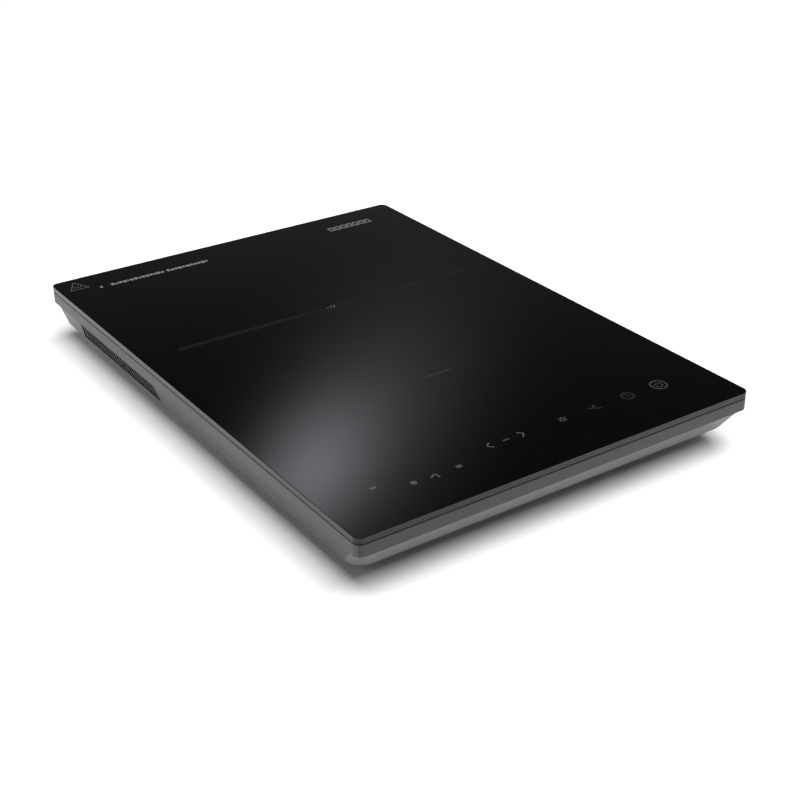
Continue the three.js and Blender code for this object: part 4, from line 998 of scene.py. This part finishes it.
intake_count = 2 * int(INTAKE_RADIUS / INTAKE_PITCH) + 1
bars = prism("bars", capsule(INTAKE_RADIUS * MM, INTAKE_SLOT / 2 * MM, belly_z - 0.002),
             capsule(INTAKE_RADIUS * MM, INTAKE_SLOT / 2 * MM, floor_top + 0.002))
bars = grown(bars, grille_tree("bars_across_a_circle"), Count=intake_count, Pitch=INTAKE_PITCH * MM,
             Radius=INTAKE_RADIUS * MM, Finish=FINISHES["grey_shell"])
bars.data.transform(Matrix.Translation((fan_x, fan_y, 0)))
solid_op(tray, bars, "DIFFERENCE")
print("intake slots:", intake_count)

# %% [markdown]
# The screw wells, the foot holes and the seat of the cord gland are cut with turned and squared tools, and the
# columns inside are taken over from the CAD solid, which already has every bore.

# %% Screw wells, foot holes, gland seat and columns
WELL_RADIUS = 3.4
WELL_DEPTH = 4.4
PEG_HOLE = 3.3
GLAND_SEAT = 6.6
GLAND_HALF = 8.5
GLAND_REACH = 6.0
NECK_HOLE = 4.8


def rod(name, x, y, radius, z0, z1, sides=40):
    ring = lambda z: [(x + radius * math.cos(2 * math.pi * i / sides), y + radius * math.sin(2 * math.pi * i / sides), z)
                      for i in range(sides)]
    return prism(name, ring(z0), ring(z1))


def middle(node):
    low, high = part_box(node)
    return (low + high) / 2


screw_places = [middle(f"housing_screw_{i}") for i in range(1, 7)]
feet_names = ["foot_front_left", "foot_front_right", "foot_rear_left", "foot_rear_right"]
foot_places = [middle(name) for name in feet_names]
gland = middle("cord_gland")
gland_y = glass_high.y - GLAND_SEAT * MM

seat_low, seat_high = bend_z, rim_z - 0.6 * MM
seat = prism("seat", [(gland.x + sx * (GLAND_HALF + WALL) * MM, y, seat_low) for sx, y in
                      ((-1, gland_y - 2.8 * MM), (1, gland_y - 2.8 * MM), (1, glass_high.y - 6.0 * MM), (-1, glass_high.y - 6.0 * MM))],
             [(gland.x + sx * (GLAND_HALF + WALL) * MM, y, seat_high) for sx, y in
              ((-1, gland_y - 2.8 * MM), (1, gland_y - 2.8 * MM), (1, glass_high.y - 6.0 * MM), (-1, glass_high.y - 6.0 * MM))])
solid_op(tray, seat, "UNION")
gz0, gz1 = gland.z - GLAND_REACH * MM, gland.z + GLAND_REACH * MM
pocket_ring = lambda z: [(gland.x - GLAND_HALF * MM, gland_y, z), (gland.x + GLAND_HALF * MM, gland_y, z),
                         (gland.x + GLAND_HALF * MM, glass_high.y + 0.001, z), (gland.x - GLAND_HALF * MM, glass_high.y + 0.001, z)]
solid_op(tray, prism("pocket", pocket_ring(gz0), pocket_ring(gz1)), "DIFFERENCE")
through = rod("through", 0, 0, NECK_HOLE * MM, -0.006, 0.002)
through.data.transform(Matrix.Translation((gland.x, gland_y, gland.z)) @ Matrix.Rotation(-math.pi / 2, 4, "X"))
solid_op(tray, through, "DIFFERENCE")
for place in screw_places:
    solid_op(tray, rod("well", place.x, place.y, WELL_RADIUS * MM, belly_z - 0.001, floor_top + 0.001), "DIFFERENCE")
for place in foot_places:
    solid_op(tray, rod("peg_hole", place.x, place.y, PEG_HOLE * MM, belly_z - 0.001, floor_top + 0.001), "DIFFERENCE")

columns = welded("bottom_housing")
SEAT_OVERLAP = 0.25
solid_op(columns, loft("keep", [deeper(inner_floor, -SEAT_OVERLAP) - Vector((0, 0, 0, 0, 0, SEAT_OVERLAP * MM)),
                                deeper(inner_bend, -SEAT_OVERLAP), deeper(inner_rim, -SEAT_OVERLAP),
                                deeper(above, -SEAT_OVERLAP)]), "INTERSECT")
solid_op(tray, columns, "UNION")
softened(tray, 0.22, angle=32)
tray.data.materials.clear()
tray.data.materials.append(FINISHES["grey_shell"])
tray.data.materials.append(slot_painted_shade)
tray.data.materials.append(vent_bars_painted_shade)
slot_outside = glass_low.x + wall_level(VENT_TOP)[0] + VENT_RECESS * MM
# in the vent, the slot walls take the near-black painted shade and the faces of the bars the darker grey painted shade
for polygon in tray.data.polygons:
    x, y, z = polygon.center
    in_vent = x < glass_low.x + VENT_DEEP * MM and vent_front - VENT_SLANT * MM < y < VENT_REAR and z < VENT_TOP
    on_panel = in_vent and x > slot_outside - 0.02 * MM
    polygon.material_index = 0 if not on_panel else 2 if abs(polygon.normal.x) > 0.7 else 1
finished(tray, "lower_tray", "grey_shell", ["bottom_housing"])

# %% [markdown]
# ## Feet and screws
# Small hardware repeats, so each is made once and copied by a second tree: it puts a shape on every point of another
# mesh, with a turn of its own from a fixed seed, as screws never stop at the same angle.

# %% A tree that puts copies on points
def places_tree(name):
    tree = bpy.data.node_groups.new(name, "GeometryNodeTree")
    tree.interface.new_socket(name="Shape", in_out="INPUT", socket_type="NodeSocketGeometry")
    tree.interface.new_socket(name="Places", in_out="INPUT", socket_type="NodeSocketObject")
    tree.interface.new_socket(name="Most Turn", in_out="INPUT", socket_type="NodeSocketFloat")
    tree.interface.new_socket(name="Seed", in_out="INPUT", socket_type="NodeSocketInt")
    tree.interface.new_socket(name="Finish", in_out="INPUT", socket_type="NodeSocketMaterial")
    tree.interface.new_socket(name="Copies", in_out="OUTPUT", socket_type="NodeSocketGeometry")
    given = tree.nodes.new("NodeGroupInput").outputs
    points = node_of(tree, "GeometryNodeObjectInfo", Object=given["Places"])
    spin = tree.nodes.new("FunctionNodeRandomValue")
    feed(tree, spin.inputs[3], given["Most Turn"])
    feed(tree, spin.inputs["Seed"], given["Seed"])
    turn = node_of(tree, "ShaderNodeCombineXYZ", Z=spin.outputs[1])
    placed = node_of(tree, "GeometryNodeInstanceOnPoints", Points=points.outputs["Geometry"], Instance=given["Shape"],
                     Rotation=turn.outputs[0])
    real = node_of(tree, "GeometryNodeRealizeInstances", Geometry=placed.outputs[0])
    done = node_of(tree, "GeometryNodeSetMaterial", Geometry=real.outputs[0], Material=given["Finish"])
    feed(tree, tree.nodes.new("NodeGroupOutput").inputs["Copies"], done.outputs[0])
    return tree


on_places = places_tree("copies_on_points")


def points_object(places):
    mesh = bpy.data.meshes.new("places")
    mesh.from_pydata([tuple(p) for p in places], [], [])
    return object_from("places", mesh)


def turned(name, profile, sides=56):
    """A profile of (radius, height) in mm, listed from the axis round to the axis, turned round Z."""
    verts, faces, rings = [], [], []
    for radius, z in profile:
        if radius == 0:
            rings.append([len(verts)])
            verts.append((0, 0, z * MM))
        else:
            rings.append(list(range(len(verts), len(verts) + sides)))
            verts += [(radius * MM * math.cos(2 * math.pi * i / sides), radius * MM * math.sin(2 * math.pi * i / sides),
                       z * MM) for i in range(sides)]
    closed = len(rings[0]) > 1
    for a, b in zip(rings, rings[1:] + ([rings[0]] if closed else [])):
        for i in range(sides):
            j = (i + 1) % sides
            corners = [a[i % len(a)], a[j % len(a)], b[j % len(b)], b[i % len(b)]]
            faces.append(tuple(dict.fromkeys(corners)))
    mesh = bpy.data.meshes.new(name)
    mesh.from_pydata(verts, [], [face for face in faces if len(face) > 2])
    return object_from(name, mesh)


# %% [markdown]
# A foot is moulded rubber: a flat ring that grips the worktop, with a shallow dimple in the middle, a soft outer
# corner and a groove half way up, and a peg that is pushed into the tray.

# %% Rubber feet
FOOT_PROFILE = [(0, 0.35), (3.6, 0.35), (4.1, 0.25), (4.4, 0.0), (8.0, 0.0), (8.5, 0.12), (8.85, 0.45), (9.0, 0.95),
                (8.8, 2.0), (8.4, 2.15), (8.3, 2.4), (8.4, 2.65), (8.65, 2.8), (8.35, 4.2), (8.15, 4.55), (7.8, 4.7),
                (3.0, 4.7), (3.0, 6.9), (2.7, 7.2), (0, 7.2)]
foot = turned("foot", FOOT_PROFILE)
foot_points = points_object([(place.x, place.y, 0.0) for place in foot_places])
feet = grown(foot, on_places, Places=foot_points, Most_Turn=2 * math.pi, Seed=4, Finish=FINISHES["black_rubber"])
drop(foot_points)
finished(softened(feet, 0, angle=40), "rubber_feet", "black_rubber", feet_names)

# %% [markdown]
# The housing screws are pan heads with a cross recess and a coarse thread that cuts its own way in the bosses. The
# thread stands here as close rings, because it is hidden in the boss and a true helix would look the same.

# %% Housing screws
SCREW_HEAD = 2.0
HEAD_RADIUS = 3.0
SHANK_RADIUS = 1.5
THREAD_ROOT = 1.2
THREAD_PITCH = 0.9
THREAD_FROM = 4.0
CROSS_REACH = 1.85
CROSS_WIDTH = 0.8
CROSS_DEPTH = 1.0

screw_low, screw_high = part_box("housing_screw_1")
screw_length = (screw_high.z - screw_low.z) / MM - SCREW_HEAD
profile = [(0, 0), (2.1, 0), (2.6, 0.12), (2.88, 0.42), (HEAD_RADIUS, 0.95), (HEAD_RADIUS, 1.8), (2.85, SCREW_HEAD),
           (SHANK_RADIUS, SCREW_HEAD), (SHANK_RADIUS, SCREW_HEAD + THREAD_FROM)]
z = SCREW_HEAD + THREAD_FROM
while z + THREAD_PITCH < SCREW_HEAD + screw_length - 1.0:
    profile += [(THREAD_ROOT, z + THREAD_PITCH * 0.3), (THREAD_ROOT, z + THREAD_PITCH * 0.6),
                (SHANK_RADIUS, z + THREAD_PITCH)]
    z += THREAD_PITCH
profile += [(THREAD_ROOT, z + 0.3), (THREAD_ROOT * 0.5, SCREW_HEAD + screw_length), (0, SCREW_HEAD + screw_length)]
screw = turned("screw", profile, sides=36)


def plate(half_x, half_y, z0, z1):
    ring = lambda z: [(-half_x * MM, -half_y * MM, z * MM), (half_x * MM, -half_y * MM, z * MM),
                      (half_x * MM, half_y * MM, z * MM), (-half_x * MM, half_y * MM, z * MM)]
    return prism("plate", ring(z0), ring(z1))


for half_x, half_y in ((CROSS_REACH, CROSS_WIDTH / 2), (CROSS_WIDTH / 2, CROSS_REACH)):
    solid_op(screw, plate(half_x, half_y, -0.5, CROSS_DEPTH), "DIFFERENCE")
screw_points = points_object([(place.x, place.y, screw_low.z) for place in screw_places])
screws = grown(screw, on_places, Places=screw_points, Most_Turn=2 * math.pi, Seed=11, Finish=FINISHES["zinc_steel"])
drop(screw_points)
finished(softened(screws, 0.06, angle=40), "housing_screws", "zinc_steel", [f"housing_screw_{i}" for i in range(1, 7)])

# %% [markdown]
# The cord gland is a rubber bush that snaps into the rear wall: a flange outside, a groove for the wall, and a
# tapered collar inside. Its bore widens at the mouth, so that a cord would not be bent over an edge.

# %% Cord gland
GLAND_PROFILE = [(3.2, -5.2), (4.3, -5.2), (4.9, -4.4), (5.2, -3.8), (5.1, -3.5), (4.9, -3.4), (4.4, -3.4), (4.4, 0.0),
                 (5.3, 0.0), (5.55, 0.12), (5.6, 0.4), (5.45, 1.35), (5.1, 1.8), (4.6, 2.0), (4.3, 2.0), (4.1, 1.8),
                 (3.9, 1.75), (3.6, 1.6), (3.3, 1.1), (3.2, 0.4)]
gland_piece = turned("gland", GLAND_PROFILE, sides=64)
gland_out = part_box("cord_gland")[1].y
gland_piece.data.transform(Matrix.Translation((gland.x, gland_out - 2.0 * MM, gland.z))
                           @ Matrix.Rotation(-math.pi / 2, 4, "X"))
finished(softened(gland_piece, 0, angle=40), "cord_gland_bush", "black_rubber", ["cord_gland"])

# %% [markdown]
# ## The fan rotor
# The rotor is one moulding: a cup that holds the motor's magnets, a thin plate across the top, and seventeen blades
# that curve backwards under the plate. It is the only thing that turns. The blades are one curved blade repeated
# round the axis by a tree, and then joined to the plate.

# %% A tree that repeats a shape round Z
def round_tree(name):
    tree = bpy.data.node_groups.new(name, "GeometryNodeTree")
    tree.interface.new_socket(name="Shape", in_out="INPUT", socket_type="NodeSocketGeometry")
    tree.interface.new_socket(name="Count", in_out="INPUT", socket_type="NodeSocketInt")
    tree.interface.new_socket(name="Finish", in_out="INPUT", socket_type="NodeSocketMaterial")
    tree.interface.new_socket(name="Ring", in_out="OUTPUT", socket_type="NodeSocketGeometry")
    given = tree.nodes.new("NodeGroupInput").outputs
    heap = node_of(tree, "GeometryNodeMeshLine", Count=given["Count"], Offset=(0.0, 0.0, 0.0))
    share = calc(tree, "DIVIDE", tree.nodes.new("GeometryNodeInputIndex").outputs[0], given["Count"])
    turn = node_of(tree, "ShaderNodeCombineXYZ", Z=calc(tree, "MULTIPLY", share, 2 * math.pi))
    placed = node_of(tree, "GeometryNodeInstanceOnPoints", Points=heap.outputs[0], Instance=given["Shape"],
                     Rotation=turn.outputs[0])
    real = node_of(tree, "GeometryNodeRealizeInstances", Geometry=placed.outputs[0])
    done = node_of(tree, "GeometryNodeSetMaterial", Geometry=real.outputs[0], Material=given["Finish"])
    feed(tree, tree.nodes.new("NodeGroupOutput").inputs["Ring"], done.outputs[0])
    return tree


round_z = round_tree("copies_round_an_axis")

# %% Fan rotor
BLADE_COUNT = 17
BLADE_INNER, BLADE_OUTER = 24.6, 35.6
BLADE_SWEEP = math.radians(24)
BLADE_THICK = (0.75, 0.45)
BLADE_STEPS = 10
HUB_RADIUS, HUB_WALL, PLATE_RADIUS = 14.0, 1.6, 36.0

rotor_low, rotor_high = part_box("fan_rotor")
r0, r1 = rotor_low.z / MM, rotor_high.z / MM
skirt_z = r0 + 0.7
ROTOR_PROFILE = [(0, r0), (1.25, r0), (1.5, r0 + 0.25), (1.5, r1 - HUB_WALL - 0.4), (1.9, r1 - HUB_WALL),
                 (HUB_RADIUS - HUB_WALL - 0.5, r1 - HUB_WALL), (HUB_RADIUS - HUB_WALL, r1 - HUB_WALL - 0.5),
                 (HUB_RADIUS - HUB_WALL, skirt_z + 0.2), (HUB_RADIUS - HUB_WALL + 0.2, skirt_z),
                 (HUB_RADIUS - 0.3, skirt_z), (HUB_RADIUS, skirt_z + 0.3), (HUB_RADIUS, r1 - 1.7),
                 (HUB_RADIUS + 0.5, r1 - 1.2), (PLATE_RADIUS - 0.3, r1 - 1.2), (PLATE_RADIUS, r1 - 0.9),
                 (PLATE_RADIUS, r1 - 0.3), (PLATE_RADIUS - 0.3, r1), (12.2, r1), (11.6, r1 - 0.35), (4.0, r1 - 0.35),
                 (3.4, r1), (0, r1)]
rotor = turned("rotor", ROTOR_PROFILE, sides=96)


def blade_outline(z):
    """A thin curved blade seen from above, thicker at its root."""
    sides = ([], [])
    for step in range(BLADE_STEPS + 1):
        share = step / BLADE_STEPS
        radius = BLADE_INNER + (BLADE_OUTER - BLADE_INNER) * share
        angle = BLADE_SWEEP * (share ** 1.4 - 0.5)
        half = (BLADE_THICK[0] + (BLADE_THICK[1] - BLADE_THICK[0]) * share) / radius
        for side, points in zip((-half, half), sides):
            points.append((radius * MM * math.cos(angle + side), radius * MM * math.sin(angle + side), z * MM))
    return sides[0] + sides[1][::-1]


blades = prism("blades", blade_outline(skirt_z + 0.1), blade_outline(r1 - 0.8))
blades = grown(blades, round_z, Count=BLADE_COUNT, Finish=FINISHES["black_resin"])
solid_op(rotor, blades, "UNION")
rotor_middle = middle("fan_rotor")
rotor.data.transform(Matrix.Translation((rotor_middle.x, rotor_middle.y, 0)))
finished(softened(rotor, 0.12, angle=45), "fan_rotor_moulding", "black_resin", ["fan_rotor"], body="fan_rotor")

# %% [markdown]
# ## The coil
# The coil is litz wire: a bundle of enamelled strands, twisted together so that each strand takes its turn outside,
# and wound as a flat spiral. A tree sweeps a lobed section along a spiral and twists it as it goes.

# %% A tree that winds a twisted bundle
def coil_tree(name):
    tree = bpy.data.node_groups.new(name, "GeometryNodeTree")
    for key, kind in (("Shape", "Geometry"), ("Turns", "Float"), ("Inner", "Float"), ("Outer", "Float"),
                      ("Radius", "Float"), ("Steps", "Int"), ("Strands", "Float"), ("Twists", "Float"),
                      ("Finish", "Material")):
        tree.interface.new_socket(name=key, in_out="INPUT", socket_type="NodeSocket" + kind)
    tree.interface.new_socket(name="Coil", in_out="OUTPUT", socket_type="NodeSocketGeometry")
    given = tree.nodes.new("NodeGroupInput").outputs
    share = node_of(tree, "GeometryNodeSplineParameter").outputs["Factor"]
    line = node_of(tree, "GeometryNodeCurvePrimitiveLine")
    path = node_of(tree, "GeometryNodeResampleCurve", Curve=line.outputs[0], Count=given["Steps"])
    radius = calc(tree, "MULTIPLY_ADD", calc(tree, "SUBTRACT", given["Outer"], given["Inner"]), share, given["Inner"])
    angle = calc(tree, "MULTIPLY", calc(tree, "MULTIPLY_ADD", calc(tree, "MULTIPLY", share, given["Turns"]), 2.0, 1.0),
                 math.pi)
    place = node_of(tree, "ShaderNodeCombineXYZ", X=calc(tree, "MULTIPLY", radius, calc(tree, "COSINE", angle)),
                    Y=calc(tree, "MULTIPLY", radius, calc(tree, "SINE", angle)))
    wound = node_of(tree, "GeometryNodeSetPosition", Geometry=path.outputs[0], Position=place.outputs[0])
    level = node_of(tree, "GeometryNodeSetCurveNormal", Curve=wound.outputs[0])
    level.mode = "Z_UP"
    tilt = calc(tree, "MULTIPLY", calc(tree, "MULTIPLY", share, given["Twists"]), 2 * math.pi)
    twisted = node_of(tree, "GeometryNodeSetCurveTilt", Curve=level.outputs[0], Tilt=tilt)
    circle = node_of(tree, "GeometryNodeCurvePrimitiveCircle", Resolution=36, Radius=1.0)
    round_share = node_of(tree, "GeometryNodeSplineParameter").outputs["Factor"]
    lobe = calc(tree, "ABSOLUTE", calc(tree, "SINE", calc(tree, "MULTIPLY", calc(tree, "MULTIPLY", round_share,
                                                                               given["Strands"]), math.pi)))
    swell = calc(tree, "MULTIPLY", calc(tree, "MULTIPLY_ADD", lobe, 0.24, 0.76), given["Radius"])
    lobed = node_of(tree, "ShaderNodeVectorMath", {"operation": "SCALE"}, Scale=swell)
    feed(tree, lobed.inputs[0], tree.nodes.new("GeometryNodeInputPosition").outputs[0])
    section = node_of(tree, "GeometryNodeSetPosition", Geometry=circle.outputs[0], Position=lobed.outputs[0])
    swept = node_of(tree, "GeometryNodeCurveToMesh", Curve=twisted.outputs[0])
    feed(tree, swept.inputs["Profile Curve"], section.outputs[0])
    feed(tree, swept.inputs["Fill Caps"], True)
    done = node_of(tree, "GeometryNodeSetMaterial", Geometry=swept.outputs[0], Material=given["Finish"])
    feed(tree, tree.nodes.new("NodeGroupOutput").inputs["Coil"], done.outputs[0])
    return tree


# %% Litz coil
COIL_INNER, COIL_OUTER, COIL_TURNS = 27.0, 86.0, 14.0
coil_low, coil_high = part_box("litz_coil")
coil_middle = middle("litz_coil")
BUNDLE_RADIUS = (coil_high.z - coil_low.z) / 2
coil = grown(object_from("coil", bpy.data.meshes.new("coil")), coil_tree("twisted_bundle"), Turns=COIL_TURNS,
             Inner=COIL_INNER * MM, Outer=COIL_OUTER * MM, Radius=BUNDLE_RADIUS, Steps=1500, Strands=7.0, Twists=170.0,
             Finish=FINISHES["copper"])
coil.data.transform(Matrix.Translation((0, middle("mica_sheet").y, coil_middle.z)))
print("coil:", len(coil.data.polygons), "faces")
finished(softened(coil, 0, angle=60), "litz_coil_bundle", "copper", ["litz_coil"])

# %% [markdown]
# ## The CAD parts that stay
# Parts inside the hob keep their CAD shape. Each gets a welded copy with its sharp edges broken, because an edge that
# catches no light looks drawn rather than made, and the finish of its slot.

# %% Inner parts with broken edges
EDGE_BREAK = {"litz_coil": 0.0, "sensor_spring": 0.0, "coil_lead_inner": 0.0, "coil_lead_outer": 0.0,
              "ribbon_cable": 0.0, "mica_sheet": 0.1, "fan_rotor": 0.15}
COMMON_BREAK = 0.25
BODY_OF = {"fan_rotor": "fan_rotor"}
for node, cad in sorted(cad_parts.items()):
    if not cad.hide_render:
        slot = cad.data.materials[0].name
        inner = softened(welded(node), EDGE_BREAK.get(node, COMMON_BREAK), angle=40)
        finished(inner, node + "_fine", slot, [node], body=BODY_OF.get(node, "cooktop"))
